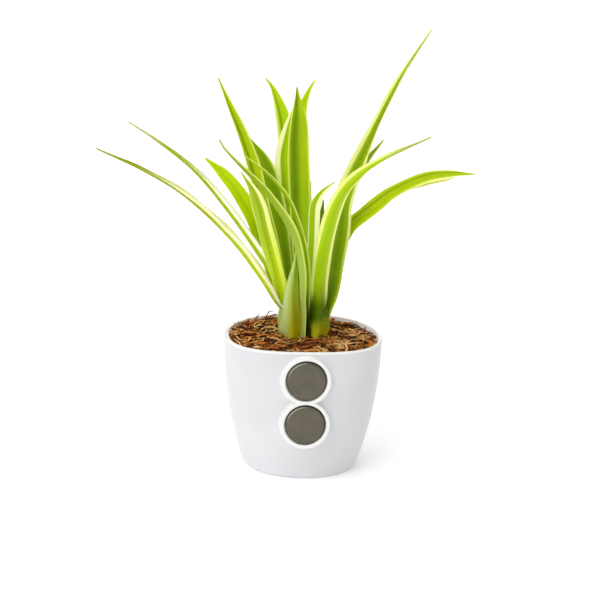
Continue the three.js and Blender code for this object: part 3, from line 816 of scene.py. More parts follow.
def leaf_green(tree, leaf, across, up, wander, vein):
    """The green of the blade between its margins, with its veins, a line of painted shade and its foot."""
    green = mixed(tree, ramp(tree, plus(tree, up, wander), *GREEN_CHANGE), *leaf["greens"])
    green = mixed(tree, ramp(tree, vein, 0.45, 0.75, 0.0, 0.16), green, OLIVE)
    green = mixed(tree, ramp(tree, vein, 0.2, 0.45, 0.16, 0.0), green, LIME)
    # Painted shade: a darker line along the blade where its fold or a leaf in front shades it
    strength, place, width = leaf["shade_line"]
    off_shade_line = calc(tree, "ABSOLUTE", less(tree, across, place))
    green = mixed(tree, ramp(tree, off_shade_line, 0.0, width, strength, 0.0), green, DEEP)
    green = mixed(tree, ramp(tree, up, *FOOT_SHADE, 1.0, 0.0), green, leaf["foot_green"])
    if "base_green" in leaf:
        green = mixed(tree, ramp(tree, up, *BASE_SHADE, 1.0, 0.0), green, leaf["base_green"])
    return green


def leaf_margins(tree, leaf, across, up, wander):
    """How much of the cream margins shows, from 0 to 1."""
    soft = leaf.get("soft", BAND_SOFTNESS)
    left, right = leaf["margins"]
    shifted = plus(tree, across, wander)
    left_cream = right_cream = 0.0
    if left > 0:
        left_cream = ramp(tree, shifted, -1.0 + left - soft, -1.0 + left + soft, 1.0, 0.0)
    if right > 0:
        right_cream = ramp(tree, shifted, 1.0 - right - soft, 1.0 - right + soft)
    share = calc(tree, "MAXIMUM", left_cream, right_cream)
    if "plain_tip" in leaf:
        share = times(tree, share, ramp(tree, up, *leaf["plain_tip"], 1.0, 0.0))
    if "plain_foot" in leaf:
        share = times(tree, share, ramp(tree, up, *leaf["plain_foot"]))
    return share


def leaf_finish(name, leaf):
    """A variegated leaf. Its map runs across in X, and up in Y from where the leaf leaves the crown."""
    material, tree, shader = new_material(f"leaf_{name}")
    parts = split(tree, output(tree, "ShaderNodeUVMap", uv_map="UVMap"))
    across = calc(tree, "MULTIPLY_ADD", parts["X"], 2.0, -1.0)
    up = parts["Y"]
    own = float(sum(map(ord, name)) % 97)

    def along_grain(across_scale, up_scale, scale, detail):
        place = joined(tree, times(tree, across, across_scale), times(tree, up, up_scale), own)
        return grain(tree, place, scale, detail)

    streak = along_grain(*STREAKS)
    vein = along_grain(*VEINS)
    mottle = grain(tree, object_place(tree), *LEAF_MOTTLE)
    wander = calc(tree, "MULTIPLY_ADD", streak, BAND_WANDER, -BAND_WANDER / 2)

    green = leaf_green(tree, leaf, across, up, wander, vein)
    cream_share = leaf_margins(tree, leaf, across, up, wander)
    cream = mixed(tree, ramp(tree, vein, 0.45, 0.8, 0.0, 0.2), leaf["cream"], MARGIN_VEIN)
    if "foot_cream" in leaf:
        low_cream, start, end = leaf["foot_cream"]
        cream = mixed(tree, ramp(tree, up, start, end), low_cream, cream)
    colour = mixed(tree, cream_share, green, cream)
    if "dry" in leaf:
        tip = calc(tree, "MULTIPLY_ADD", wander, 0.3, up)
        withered = ramp(tree, tip, 1.0 - leaf["dry"], 1.0 - leaf["dry"] * 0.3, 0.0, 0.85)
        straw = mixed(tree, ramp(tree, mottle, 0.4, 0.7, 0.0, 0.4), leaf.get("dry_colour", DRY), DRY_PALE)
        colour = mixed(tree, withered, colour, straw)
    colour = mixed(tree, ramp(tree, mottle, 0.5, 0.75, 0.0, 0.1), colour, SPARKLE)
    tree.links.new(colour, shader.inputs["Base Color"])
    # Painted glow: the cream margins emit light, standing in for light through the thin pale tissue
    if "glow" in leaf:
        tree.links.new(colour, shader.inputs["Emission Color"])
        tree.links.new(times(tree, cream_share, leaf["glow"]), shader.inputs["Emission Strength"])
    tree.links.new(ramp(tree, vein, 0.3, 0.7, *LEAF_ROUGHNESS), shader.inputs["Roughness"])
    shader.inputs["Specular IOR Level"].default_value = LEAF_SHEEN
    shader.inputs["Subsurface Weight"].default_value = LEAF_SOAK
    shader.inputs["Subsurface Radius"].default_value = LEAF_SOAK_REACH
    shader.inputs["Subsurface Scale"].default_value = LEAF_SOAK_SIZE * MM
    dent(tree, shader, vein, *LEAF_DENT)
    return material


def crown_finish(name, greens, change):
    """Leaf bases with upright ribs, from one green at the bottom to another at the top."""
    material, tree, shader = new_material(f"crown_{name}")
    place = object_place(tree)
    parts = split(tree, place)
    rib = grain(tree, vector_calc(tree, "MULTIPLY", place, CROWN_FLUTES), *CROWN_GRAIN)
    start, end = change
    green = mixed(tree, ramp(tree, parts["Z"], start * MM, end * MM), *greens)
    green = mixed(tree, ramp(tree, rib, 0.4, 0.7, 0.0, 0.4), green, CROWN_STREAK)
    tree.links.new(green, shader.inputs["Base Color"])
    tree.links.new(ramp(tree, rib, 0.3, 0.7, *CROWN_ROUGHNESS), shader.inputs["Roughness"])
    shader.inputs["Specular IOR Level"].default_value = CROWN_SHEEN
    dent(tree, shader, rib, *CROWN_DENT)
    return material


def fibre_finish(name, spread):
    """Coconut fibre: browns that change from fibre to fibre, by so wide a spread, and along each one."""
    material, tree, shader = new_material(name)
    place = object_place(tree)
    own = add_node(tree, "ShaderNodeAttribute", attribute_name="fibre").outputs["Fac"]
    patch = grain(tree, place, *COIR_PATCHES)
    fleck = grain(tree, place, *COIR_FLECKS)
    patch_tone = calc(tree, "MULTIPLY_ADD", patch, PATCH_SHARE, -PATCH_SHARE / 2)
    fleck_tone = calc(tree, "MULTIPLY_ADD", fleck, FLECK_SHARE, -FLECK_SHARE / 4)
    tone = calc(tree, "ADD", plus(tree, times(tree, own, spread), patch_tone), fleck_tone, clamp=True)
    bands = add_node(tree, "ShaderNodeValToRGB", {0: tone})
    stops = bands.color_ramp.elements
    stops.remove(stops[1])
    for i, brown in enumerate(COIR_BROWNS):
        spot = i / (len(COIR_BROWNS) - 1)
        stop = stops[0] if i == 0 else stops.new(spot)
        stop.position = spot
        stop.color = linear(brown)
    tree.links.new(bands.outputs[0], shader.inputs["Base Color"])
    tree.links.new(ramp(tree, fleck, 0.3, 0.7, *COIR_ROUGHNESS), shader.inputs["Roughness"])
    shader.inputs["Specular IOR Level"].default_value = COIR_SHEEN
    dent(tree, shader, fleck, *COIR_DENT)
    return material


def floor_finish():
    """Smooth matt white paper."""
    material, tree, shader = new_material("white_paper_floor")
    tooth = grain(tree, object_place(tree), *PAPER_GRAIN)
    tree.links.new(mixed(tree, tooth, *PAPER_WHITES), shader.inputs["Base Color"])
    shader.inputs["Roughness"].default_value = PAPER_ROUGHNESS
    shader.inputs["Specular IOR Level"].default_value = PAPER_SHEEN
    shader.inputs["Emission Color"].default_value = (1, 1, 1, 1)
    shader.inputs["Emission Strength"].default_value = FLOOR_GLOW
    return material


# Mesh helpers

def keep(name, mesh, material, slot, *nodes):
    """Makes a finished piece of a mesh, links it into the scene under the root body and hides the imported
    nodes it stands for.
    """
    mesh.materials.clear()
    mesh.materials.append(material)
    piece = bpy.data.objects.new(name, mesh)
    bpy.context.scene.collection.objects.link(piece)
    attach(piece, "root")
    if nodes:
        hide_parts(*nodes)


def weld(mesh, distance, turn_out=False):
    """Merges doubled points and, where asked, turns the faces outwards."""
    tidy = bmesh.new()
    tidy.from_mesh(mesh)
    bmesh.ops.remove_doubles(tidy, verts=tidy.verts, dist=distance)
    if turn_out:
        bmesh.ops.recalc_face_normals(tidy, faces=tidy.faces)
    tidy.to_mesh(mesh)
    tidy.free()


def mesh_of(name, points, faces, sharp=None):
    """A smooth-shaded mesh from points in millimetres, with edges above the given angle left sharp."""
    mesh = bpy.data.meshes.new(name)
    mesh.from_pydata([Vector(p) * MM for p in points], [], faces)
    weld(mesh, MESH_WELD, turn_out=True)
    mesh.shade_smooth()
    if sharp:
        mesh.set_sharp_from_angle(angle=math.radians(sharp))
    return mesh


def round_angles(count):
    return [2 * math.pi * i / count for i in range(count)]


def sheet(rings):
    """Points and faces of an open surface over rings, each a list of as many points."""
    count = len(rings[0])
    faces = []
    for r in range(len(rings) - 1):
        for i in range(count):
            a, b = r * count + i, r * count + (i + 1) % count
            faces.append((a, b, b + count, a + count))
    return [p for ring in rings for p in ring], faces


def skin(rings):
    """Points and faces of a tube over rings, with fanned ends."""
    count = len(rings[0])
    points, faces = sheet(rings)
    for r in (0, len(rings) - 1):
        points.append(sum((Vector(p) for p in rings[r]), Vector()) / count)
        hub = len(points) - 1
        faces += [(r * count + i, r * count + (i + 1) % count, hub) for i in range(count)]
    return points, faces


def give_tone(mesh, tone):
    """Gives every point of a mesh the same fibre tone, from 0 for dark to 1 for pale."""
    layer = mesh.attributes.new("fibre", "FLOAT", "POINT")
    layer.data.foreach_set("value", [tone] * len(mesh.vertices))


def new_tree(name, inputs):
    """An empty Geometry Nodes tree and its inputs, from (name, kind, value), after the geometry."""
    tree = bpy.data.node_groups.new(name, "GeometryNodeTree")
    face = tree.interface
    face.new_socket("Geometry", in_out="INPUT", socket_type="NodeSocketGeometry")
    face.new_socket("Geometry", in_out="OUTPUT", socket_type="NodeSocketGeometry")
    for label, kind, value in inputs:
        socket = face.new_socket(label, in_out="INPUT", socket_type=f"NodeSocket{kind}")
        if value is not None:
            socket.default_value = value
    face.new_socket("Material", in_out="INPUT", socket_type="NodeSocketMaterial")
    return tree, add_node(tree, "NodeGroupInput").outputs


def finish_tree(tree, shape, material):
    """Ends a tree with one smooth, real mesh in its material."""
    shape = output(tree, "GeometryNodeSetShadeSmooth", {"Geometry": shape})
    shape = output(tree, "GeometryNodeRealizeInstances", {"Geometry": shape})
    shape = output(tree, "GeometryNodeSetMaterial", {"Geometry": shape, "Material": material})
    add_node(tree, "NodeGroupOutput", {"Geometry": shape})


def named(tree, name, kind="FLOAT"):
    return output(tree, "GeometryNodeInputNamedAttribute", {"Name": name}, data_type=kind)


def stored(tree, shape, name, value, kind, domain):
    inputs = {"Geometry": shape, "Name": name, "Value": value}
    return output(tree, "GeometryNodeStoreNamedAttribute", inputs, data_type=kind, domain=domain)


def shaped(name, mesh, tree, material, sizes):
    """The plain mesh that a Geometry Nodes tree makes of a mesh."""
    source = bpy.data.objects.new(name + "_source", mesh)
    bpy.context.scene.collection.objects.link(source)
    modifier = source.modifiers.new("shape", "NODES")
    modifier.node_group = tree
    for item in tree.interface.items_tree:
        if item.item_type != "SOCKET" or item.in_out != "INPUT":
            continue
        if item.name == "Material":
            modifier[item.identifier] = material
        elif item.name in sizes:
            modifier[item.identifier] = sizes[item.name]
    source.update_tag()
    bpy.context.view_layer.update()
    graph = bpy.context.evaluated_depsgraph_get()
    made = bpy.data.meshes.new_from_object(
        source.evaluated_get(graph), preserve_all_data_layers=True, depsgraph=graph)
    source.modifiers.clear()
    bpy.data.objects.remove(source)
    made.name = name
    return made


def boolean(target, other, operation):
    """The plain mesh of one mesh cut by, or joined to, another."""
    holders = []
    for mesh in (target, other):
        holder = bpy.data.objects.new("cut", mesh)
        bpy.context.scene.collection.objects.link(holder)
        holders.append(holder)
    modifier = holders[0].modifiers.new("cut", "BOOLEAN")
    modifier.operation = operation
    modifier.solver = "EXACT"
    modifier.object = holders[1]
    bpy.context.view_layer.update()
    graph = bpy.context.evaluated_depsgraph_get()
    made = bpy.data.meshes.new_from_object(holders[0].evaluated_get(graph), depsgraph=graph)
    for holder in holders:
        bpy.data.objects.remove(holder)
    weld(made, CUT_WELD)
    return made


# Paths

def smooth_path(points, pieces=PATH_PIECES):
    """A fine polyline through points, by the centripetal rule."""
    points = [Vector(p) for p in points]
    padded = [2 * points[0] - points[1], *points, 2 * points[-1] - points[-2]]
    fine = []
    for p0, p1, p2, p3 in zip(padded, padded[1:], padded[2:], padded[3:]):
        gaps = [max(math.sqrt((b - a).length), TINY) for a, b in ((p0, p1), (p1, p2), (p2, p3))]
        m1 = ((p1 - p0) / gaps[0] - (p2 - p0) / (gaps[0] + gaps[1]) + (p2 - p1) / gaps[1]) * gaps[1]
        m2 = ((p2 - p1) / gaps[1] - (p3 - p1) / (gaps[1] + gaps[2]) + (p3 - p2) / gaps[2]) * gaps[1]
        for i in range(pieces):
            t = i / pieces
            square, cube = 3 * (p2 - p1) - 2 * m1 - m2, 2 * (p1 - p2) + m1 + m2
            fine.append(p1 + m1 * t + square * t ** 2 + cube * t ** 3)
    return fine + [points[-1]]


def lengths_along(path):
    total = [0.0]
    for a, b in zip(path, path[1:]):
        total.append(total[-1] + (b - a).length)
    return total


def at_length(path, lengths, length):
    """The point and the direction at a length along a polyline."""
    length = min(max(length, 0.0), lengths[-1])
    i = next((k for k in range(1, len(lengths)) if lengths[k] >= length), len(lengths) - 1)
    share = (length - lengths[i - 1]) / max(lengths[i] - lengths[i - 1], TINY)
    before, after = path[max(i - 2, 0)], path[min(i + 1, len(path) - 1)]
    return path[i - 1].lerp(path[i], share), (after - before).normalized()


def between(first, second, share):
    return first + (second - first) * share


def evenly(values, t):
    """A value at t, from 0 to 1, on a smooth line through an evenly spaced list."""
    spot = min(max(t, 0.0), 1.0) * (len(values) - 1)
    i = min(int(spot), len(values) - 2)
    near = [values[min(max(i + k, 0), len(values) - 1)] for k in (-1, 0, 1, 2)]
    w = spot - i
    rise, fall = (near[2] - near[0]) / 2, (near[3] - near[1]) / 2
    return ((2 * near[1] - 2 * near[2] + rise + fall) * w ** 3
            + (-3 * near[1] + 3 * near[2] - 2 * rise - fall) * w ** 2 + rise * w + near[1])


# Pot

def plan_at(height):
    """The plan's reach at the sides, its reach at the front and the squareness of its front half."""
    rise = min(max(height / POT_HEIGHT, 0), 1)
    taper = (1 - rise) ** TAPER_POWER
    return RIM_RADIUS - TAPER * taper, FRONT_RIM - FRONT_TAPER * taper, 2 + FRONT_SQUARENESS * rise


def pot_reach(height, angle, inset):
    """How far the pot's outline is from the axis, in the direction of an angle, at a height."""
    side, front, power = plan_at(height)
    if math.sin(angle) >= 0:
        return side - inset
    across = abs(math.cos(angle) / (side - inset)) ** power
    forward = abs(math.sin(angle) / (front - inset)) ** power
    return (across + forward) ** (-1 / power)


def front_wall(x, height):
    """How far the pot's front is from the axis plane, beside the middle."""
    side, front, power = plan_at(height)
    return front * (1 - (abs(x) / side) ** power) ** (1 / power)


def quarter(inset, height, radius, start, steps):
    """Points round a quarter of a rounded edge, as (inset, height)."""
    angles = [start + math.pi / 2 * i / steps for i in range(steps + 1)]
    return [(inset - radius * math.cos(a), height + radius * math.sin(a)) for a in angles]


def quarter_angles(steps, first=0):
    return [math.pi / 2 * i / steps for i in range(first, steps + 1)]


def straight(inset, start, end, steps):
    return [(inset, start + (end - start) * i / steps) for i in range(1, steps + 1)]


def turned_pot(profile, sides):
    """Rings with the pot's plan."""
    angles = round_angles(sides)
    rings = []
    for inset, height in profile:
        reaches = [pot_reach(height, a, inset) for a in angles]
        rings.append([Vector((r * math.cos(a), r * math.sin(a), height)) for a, r in zip(angles, reaches)])
    return rings


def pot_profile():
    """The shell's section as (inset, height), from mid underside round to the middle of the floor."""
    edge = POT_HEIGHT - RIM_ROUND
    outer = [(inset, 0) for inset in UNDERSIDE_INSETS]
    outer += quarter(FOOT_ROUND, FOOT_ROUND, FOOT_ROUND, -math.pi / 2, POT_STEPS["foot"])
    outer += straight(0, FOOT_ROUND, edge, POT_STEPS["wall"])
    rim = quarter(RIM_ROUND, edge, RIM_ROUND, 0, POT_STEPS["rim"])[1:]
    lip = [(WALL - RIM_ROUND * math.sin(a), POT_HEIGHT - RIM_ROUND * (1 - math.cos(a)))
           for a in reversed(quarter_angles(POT_STEPS["lip"]))]
    inside = [(WALL, POT_HEIGHT - LIP_DEPTH)]
    inside += straight(WALL, POT_HEIGHT - LIP_DEPTH, FLOOR + FOOT_ROUND, POT_STEPS["inside"])
    floor = quarter(WALL + FOOT_ROUND, FLOOR + FOOT_ROUND, FOOT_ROUND, -math.pi / 2, POT_STEPS["floor"])
    return outer + rim + lip[1:] + inside + floor[::-1][1:] + [(FLOOR_INSET, FLOOR)]


def boss_ring(outset, depth_at):
    """One ring round the figure-of-eight boss. A rule gives how far a place is from the axis plane."""
    upper, lower = MAGNET_HEIGHTS["upper"], MAGNET_HEIGHTS["lower"]
    radius = MAGNET_RADIUS + BORE_GAP + BOSS_RIM + outset
    waist = math.asin((upper - lower) / 2 / radius)
    sweep = math.pi + 2 * waist
    ring = []
    for centre, start in ((upper, -waist), (lower, math.pi - waist)):
        for i in range(BOSS_STEPS):
            angle = start + sweep * i / BOSS_STEPS
            x, z = radius * math.cos(angle), centre + radius * math.sin(angle)
            ring.append(Vector((x, -depth_at(x, z), z)))
    return ring


def boss_rings():
    """Rings from inside the wall, round a fillet, out to the face and over its bevel."""
    def under_wall(depth):
        return lambda x, z: front_wall(x, min(z, POT_HEIGHT)) - depth

    rings = [boss_ring(BOSS_FILLET * share, under_wall(depth)) for share, depth in BOSS_ROOTS]
    for angle in quarter_angles(FILLET_STEPS, 1)[:-1]:
        raised = BOSS_FILLET * (1 - math.cos(angle)) * FILLET_RISE
        rings.append(boss_ring(BOSS_FILLET * (1 - math.sin(angle)), under_wall(FILLET_SUNK - raised)))
    for angle in quarter_angles(BEVEL_STEPS):
        face = BOSS_FACE - BOSS_BEVEL * (1 - math.sin(angle))
        rings.append(boss_ring(-BOSS_BEVEL * (1 - math.cos(angle)), lambda x, z, face=face: face))
    return rings


def bore_profile():
    """A magnet's bore as (radius, distance from the axis plane), from its floor out past the face."""
    radius = MAGNET_RADIUS + BORE_GAP
    bore_floor = BOSS_FACE - MAGNET_SUNK - MAGNET_THICKNESS - BORE_GAP
    profile = [(radius, bore_floor), (radius, BOSS_FACE - BORE_CHAMFER)]
    profile += [(radius + BORE_CHAMFER * (1 - math.cos(a)), BOSS_FACE - BORE_CHAMFER * (1 - math.sin(a)))
                for a in quarter_angles(BORE_STEPS, 1)]
    return profile + [(radius + BORE_CHAMFER, BOSS_FACE + BORE_PAST)]


def faced_rings(profile, height):
    """Rings about a line to the front at a height, from (radius, distance from the axis plane)."""
    circle = [(math.cos(a), math.sin(a)) for a in round_angles(MAGNET_SIDES)]
    return [[Vector((r * x, -depth, height + r * z)) for x, z in circle] for r, depth in profile]


def make_pot(plastic):
    body = mesh_of("pot_body", *skin(turned_pot(pot_profile(), POT_SIDES)))
    body = boolean(body, mesh_of("boss", *skin(boss_rings())), "UNION")
    for height in MAGNET_HEIGHTS.values():
        body = boolean(body, mesh_of("bore", *skin(faced_rings(bore_profile(), height))), "DIFFERENCE")
    body.shade_smooth()
    body.set_sharp_from_angle(angle=math.radians(POT_SHARP))
    keep("white_pot", body, plastic, "pot", "pot")


def make_magnets(metal):
    """Discs with a stepped, rounded edge and a tiny dimple in the middle of the face."""
    face = BOSS_FACE - MAGNET_SUNK
    ledge = face - MAGNET_STEP
    back = face - MAGNET_THICKNESS
    step = MAGNET_RADIUS - MAGNET_LEDGE
    profile = [(radius, face - depth) for radius, depth in MAGNET_DIMPLE]
    profile += [(radius, face) for radius in (*MAGNET_FACE_RINGS, step - MAGNET_SLOPE)] + [(step, ledge)]
    profile += [(MAGNET_RADIUS - MAGNET_ROUND * (1 - math.sin(a)), ledge - MAGNET_ROUND * (1 - math.cos(a)))
                for a in quarter_angles(MAGNET_ROUND_STEPS)]
    profile += [(MAGNET_RADIUS, back + MAGNET_CHAMFER), (MAGNET_RADIUS - MAGNET_CHAMFER, back)]
    for place, height in MAGNET_HEIGHTS.items():
        mesh = mesh_of(f"disc_{place}", *skin(faced_rings(profile, height)), sharp=MAGNET_SHARP)
        keep(f"magnet_disc_{place}", mesh, metal, "magnet", f"magnet_{place}")


# Leaves

def blade_tree():
    """Sweeps a channelled, closed blade along a spine whose points carry its width and directions."""
    tree, given = new_tree("leaf_blade", (
        ("Stations", "Int", BLADE_STATIONS),
        ("Points across", "Int", BLADE_ACROSS),
        ("Middle thickness", "Float", BLADE_THICKNESS * MM),
        ("Edge thickness", "Float", EDGE_THICKNESS * MM),
        ("Keel roundness", "Float", KEEL_ROUNDNESS),
        ("Edge wave", "Float", EDGE_WAVE * MM),
        ("Waves", "Float", WAVES_ELSEWHERE),
    ))
    spine = given["Geometry"]

    # A straight tube with the right number of points, which are then put in their places.
    line = output(tree, "GeometryNodeCurvePrimitiveLine")
    line = output(tree, "GeometryNodeResampleCurve", {"Curve": line, "Count": given["Stations"]})
    around = times(tree, given["Points across"], 2.0)
    ring = output(tree, "GeometryNodeCurvePrimitiveCircle", {"Resolution": around, "Radius": 0.01})
    parts = {"Curve": line, "Profile Curve": ring, "Fill Caps": True}
    tube = output(tree, "GeometryNodeCurveToMesh", parts)

    # Each point's station up the spine, and its place from -1 to 1 across it, out on one face and back.
    index = output(tree, "GeometryNodeInputIndex")
    station = calc(tree, "FLOOR", calc(tree, "DIVIDE", plus(tree, index, 0.5), around))
    spot = less(tree, index, times(tree, station, around))
    below = calc(tree, "GREATER_THAN", plus(tree, spot, 0.5), given["Points across"])
    local = less(tree, spot, times(tree, below, given["Points across"]))
    last = less(tree, given["Points across"], 1.0)
    forward = calc(tree, "MULTIPLY_ADD", calc(tree, "DIVIDE", local, last), 2.0, -1.0)
    side = calc(tree, "MULTIPLY_ADD", below, -2.0, 1.0)
    place = times(tree, forward, side)

    def at_station(value, kind):
        inputs = {"Geometry": spine, "Value": value, "Index": station}
        return output(tree, "GeometryNodeSampleIndex", inputs, data_type=kind)

    centre = at_station(output(tree, "GeometryNodeInputPosition"), "FLOAT_VECTOR")
    across = at_station(named(tree, "across", "FLOAT_VECTOR"), "FLOAT_VECTOR")
    upper = at_station(named(tree, "upper", "FLOAT_VECTOR"), "FLOAT_VECTOR")
    half, fold, up = (at_station(named(tree, name), "FLOAT") for name in ("half_width", "fold", "up"))

    away = calc(tree, "ABSOLUTE", place)
    keel = given["Keel roundness"]
    keel_square = times(tree, keel, keel)

    def rounded(value):
        square = times(tree, value, value)
        return less(tree, calc(tree, "SQRT", plus(tree, square, keel_square)), keel)

    channel = calc(tree, "DIVIDE", rounded(away), rounded(1.0))
    raised = times(tree, half, calc(tree, "SINE", fold), channel)
    thick = plus(tree, times(tree, given["Middle thickness"], less(tree, 1.0, away)),
                 times(tree, given["Edge thickness"], away))
    thick = times(tree, thick, side, calc(tree, "DIVIDE", 0.5, calc(tree, "COSINE", fold)))
    turns = times(tree, up, given["Waves"], 2 * math.pi)
    wave = calc(tree, "SINE", plus(tree, turns, times(tree, place, WAVE_SKEW)))
    wave = times(tree, wave, given["Edge wave"], times(tree, away, away))
    narrow = calc(tree, "MULTIPLY", half, 1 / (FULL_WAVE_WIDTH * MM), clamp=True)
    lift = plus(tree, raised, thick, times(tree, wave, narrow))
    reach = times(tree, half, calc(tree, "COSINE", fold), place)
    point = vector_calc(tree, "ADD", centre, scaled(tree, across, reach))
    point = vector_calc(tree, "ADD", point, scaled(tree, upper, lift))
    shape = output(tree, "GeometryNodeSetPosition", {"Geometry": tube, "Position": point})

    # The map for the leaf's colours
    share_across = calc(tree, "MULTIPLY_ADD", place, 0.5, 0.5)
    shape = stored(tree, shape, "share_across", share_across, "FLOAT", "POINT")
    shape = stored(tree, shape, "share_up", up, "FLOAT", "POINT")
    shares = joined(tree, named(tree, "share_across"), named(tree, "share_up"))
    shape = stored(tree, shape, "UVMap", shares, "FLOAT2", "CORNER")
    finish_tree(tree, shape, given["Material"])
    return tree


def leaf_spine(leaf):
    """A mesh line up the midrib, whose points carry what the blade tree needs."""
    foot = leaf.get("foot", [])
    path = smooth_path([stop[:3] for stop in foot] + leaf["spine"])
    lengths = lengths_along(path)
    main_length = lengths_along(smooth_path(leaf["spine"]))[-1]
    foot_stops = [lengths[PATH_PIECES * i] for i in range(len(foot) + 1)]
    foot_widths = [stop[3] for stop in foot] + [leaf["widths"][0]]
    foot_folds = [stop[4] for stop in foot] + [leaf["folds"][0]]
    foot_length = foot_stops[-1]
    rows = []
    for station in range(BLADE_STATIONS):
        length = lengths[-1] * station / (BLADE_STATIONS - 1)
        point, run = at_length(path, lengths, length)
        t = (length - foot_length) / (lengths[-1] - foot_length)
        up = t
        width, fold = evenly(leaf["widths"], t), evenly(leaf["folds"], t)
        if t < 0:
            up = t * (lengths[-1] - foot_length) / main_length
            i = next(k for k in range(1, len(foot_stops)) if foot_stops[k] >= length - TINY)
            share = (length - foot_stops[i - 1]) / (foot_stops[i] - foot_stops[i - 1])
            share = share * share * (3 - 2 * share)
            width = between(foot_widths[i - 1], foot_widths[i], share)
            fold = between(foot_folds[i - 1], foot_folds[i], share)
        side = run.cross(Vector((0, -1, 0))).normalized()
        face = side.cross(run)
        turn = math.radians(evenly(leaf["turns"], t))
        upper = face * math.cos(turn) + side * math.sin(turn)
        rows.append((point, run.cross(upper), upper, width / 2 * MM, math.radians(fold), up))
    mesh = bpy.data.meshes.new("spine")
    mesh.from_pydata([row[0] * MM for row in rows], [(i, i + 1) for i in range(len(rows) - 1)], [])
    for column, name in ((1, "across"), (2, "upper")):
        layer = mesh.attributes.new(name, "FLOAT_VECTOR", "POINT")
        layer.data.foreach_set("vector", [value for row in rows for value in row[column]])
    for column, name in ((3, "half_width"), (4, "fold"), (5, "up")):
        layer = mesh.attributes.new(name, "FLOAT", "POINT")
        layer.data.foreach_set("value", [row[column] for row in rows])
    return mesh


def make_leaves():
    """The leaves, and the turned-over strip, which has no solid of its own."""
    tree = blade_tree()
    for number, (name, leaf) in enumerate(LEAVES.items()):
        finish = leaf_finish(name, leaf)
        sizes = {"Waves": LEAF_WAVES[number % len(LEAF_WAVES)]}
        mesh = shaped(f"blade_{name}", leaf_spine(leaf), tree, finish, sizes)
        keep(f"blade_{name}", mesh, finish, "leaf", f"leaf_{name}")
    finish = leaf_finish("turned_edge", TURNED_EDGE)
    keep("turned_edge", shaped("turned_edge", leaf_spine(TURNED_EDGE), tree, finish, {}), finish, "leaf")


def make_crowns():
    """Each crown is a ribbed bulb of packed leaf bases."""
    for place, crown in CROWNS.items():
        foot, lean = crown["foot"], crown["lean"]
        loops = []
        for height, half_width, half_depth in smooth_path(crown["rings"], CROWN_PIECES):
            rise = height - CROWN_BASE
            loop = []
            for angle in round_angles(CROWN_SIDES):
                rib = 1 + sum(depth * math.cos(count * angle + height * twist)
                              for depth, count, twist in CROWN_RIBS)
                x = foot[0] + lean[0] * rise + half_width * rib * math.cos(angle)
                y = foot[1] + lean[1] * rise + half_depth * rib * math.sin(angle)
                loop.append(Vector((x, y, height)))
            loops.append(loop)
        finish = crown_finish(place, crown["greens"], crown["change"])
        keep(f"crown_sheaths_{place}", mesh_of("crown", *skin(loops)), finish, "crown", f"crown_{place}")


# Coconut fibre

def coir_height(x, y):
    """The top of the fibre: mounded at the back left, with slight ripples."""
    away_x, away_y = x - MOUND_PLACE[0], y - MOUND_PLACE[1]
    mound = MOUND_HEIGHT * math.exp(-(away_x ** 2 + away_y ** 2) / MOUND_SPREAD)
    across, deep = RIPPLES
    return COIR_TOP + mound + RIPPLE_HEIGHT * math.sin(across * x + 1) * math.cos(deep * y)


def bed_height(x, y):
    lumps = sum(noise.noise(Vector((x * close, y * close, own))) * height for close, own, height in LUMPS)
    return coir_height(x, y) - COIR_SUNK + lumps


def make_coir_bed(finish):
    """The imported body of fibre, with a lumpy top. It gives back the top's rings."""
    inset = WALL + COIR_GAP
    bend = FLOOR + COIR_GAP + FOOT_ROUND
    side = quarter(inset + FOOT_ROUND, bend, FOOT_ROUND, -math.pi / 2, BED_STEPS["bend"])
    side += straight(inset, bend, COIR_TOP - COIR_SHOULDER, BED_STEPS["side"])
    rings = turned_pot(side, COIR_SIDES)
    rim = turned_pot([(inset + BED_RIM_INSET, COIR_TOP)], COIR_SIDES)[0]
    for r in range(COIR_TOP_RINGS):
        share = 1 - (r + 0.4) / COIR_TOP_RINGS
        places = [(p.x * share, p.y * share) for p in rim]
        rings.append([Vector((x, y, bed_height(x, y))) for x, y in places])
    mesh = mesh_of("coir_bed", *skin(rings))
    # Painted shade: the bed's dark tone stands for the shade in the gaps between the loose fibres
    give_tone(mesh, BED_TONE)
    keep("coir_bed", mesh, finish, "coir", "coir_growing_medium")
    return rings[len(side):]


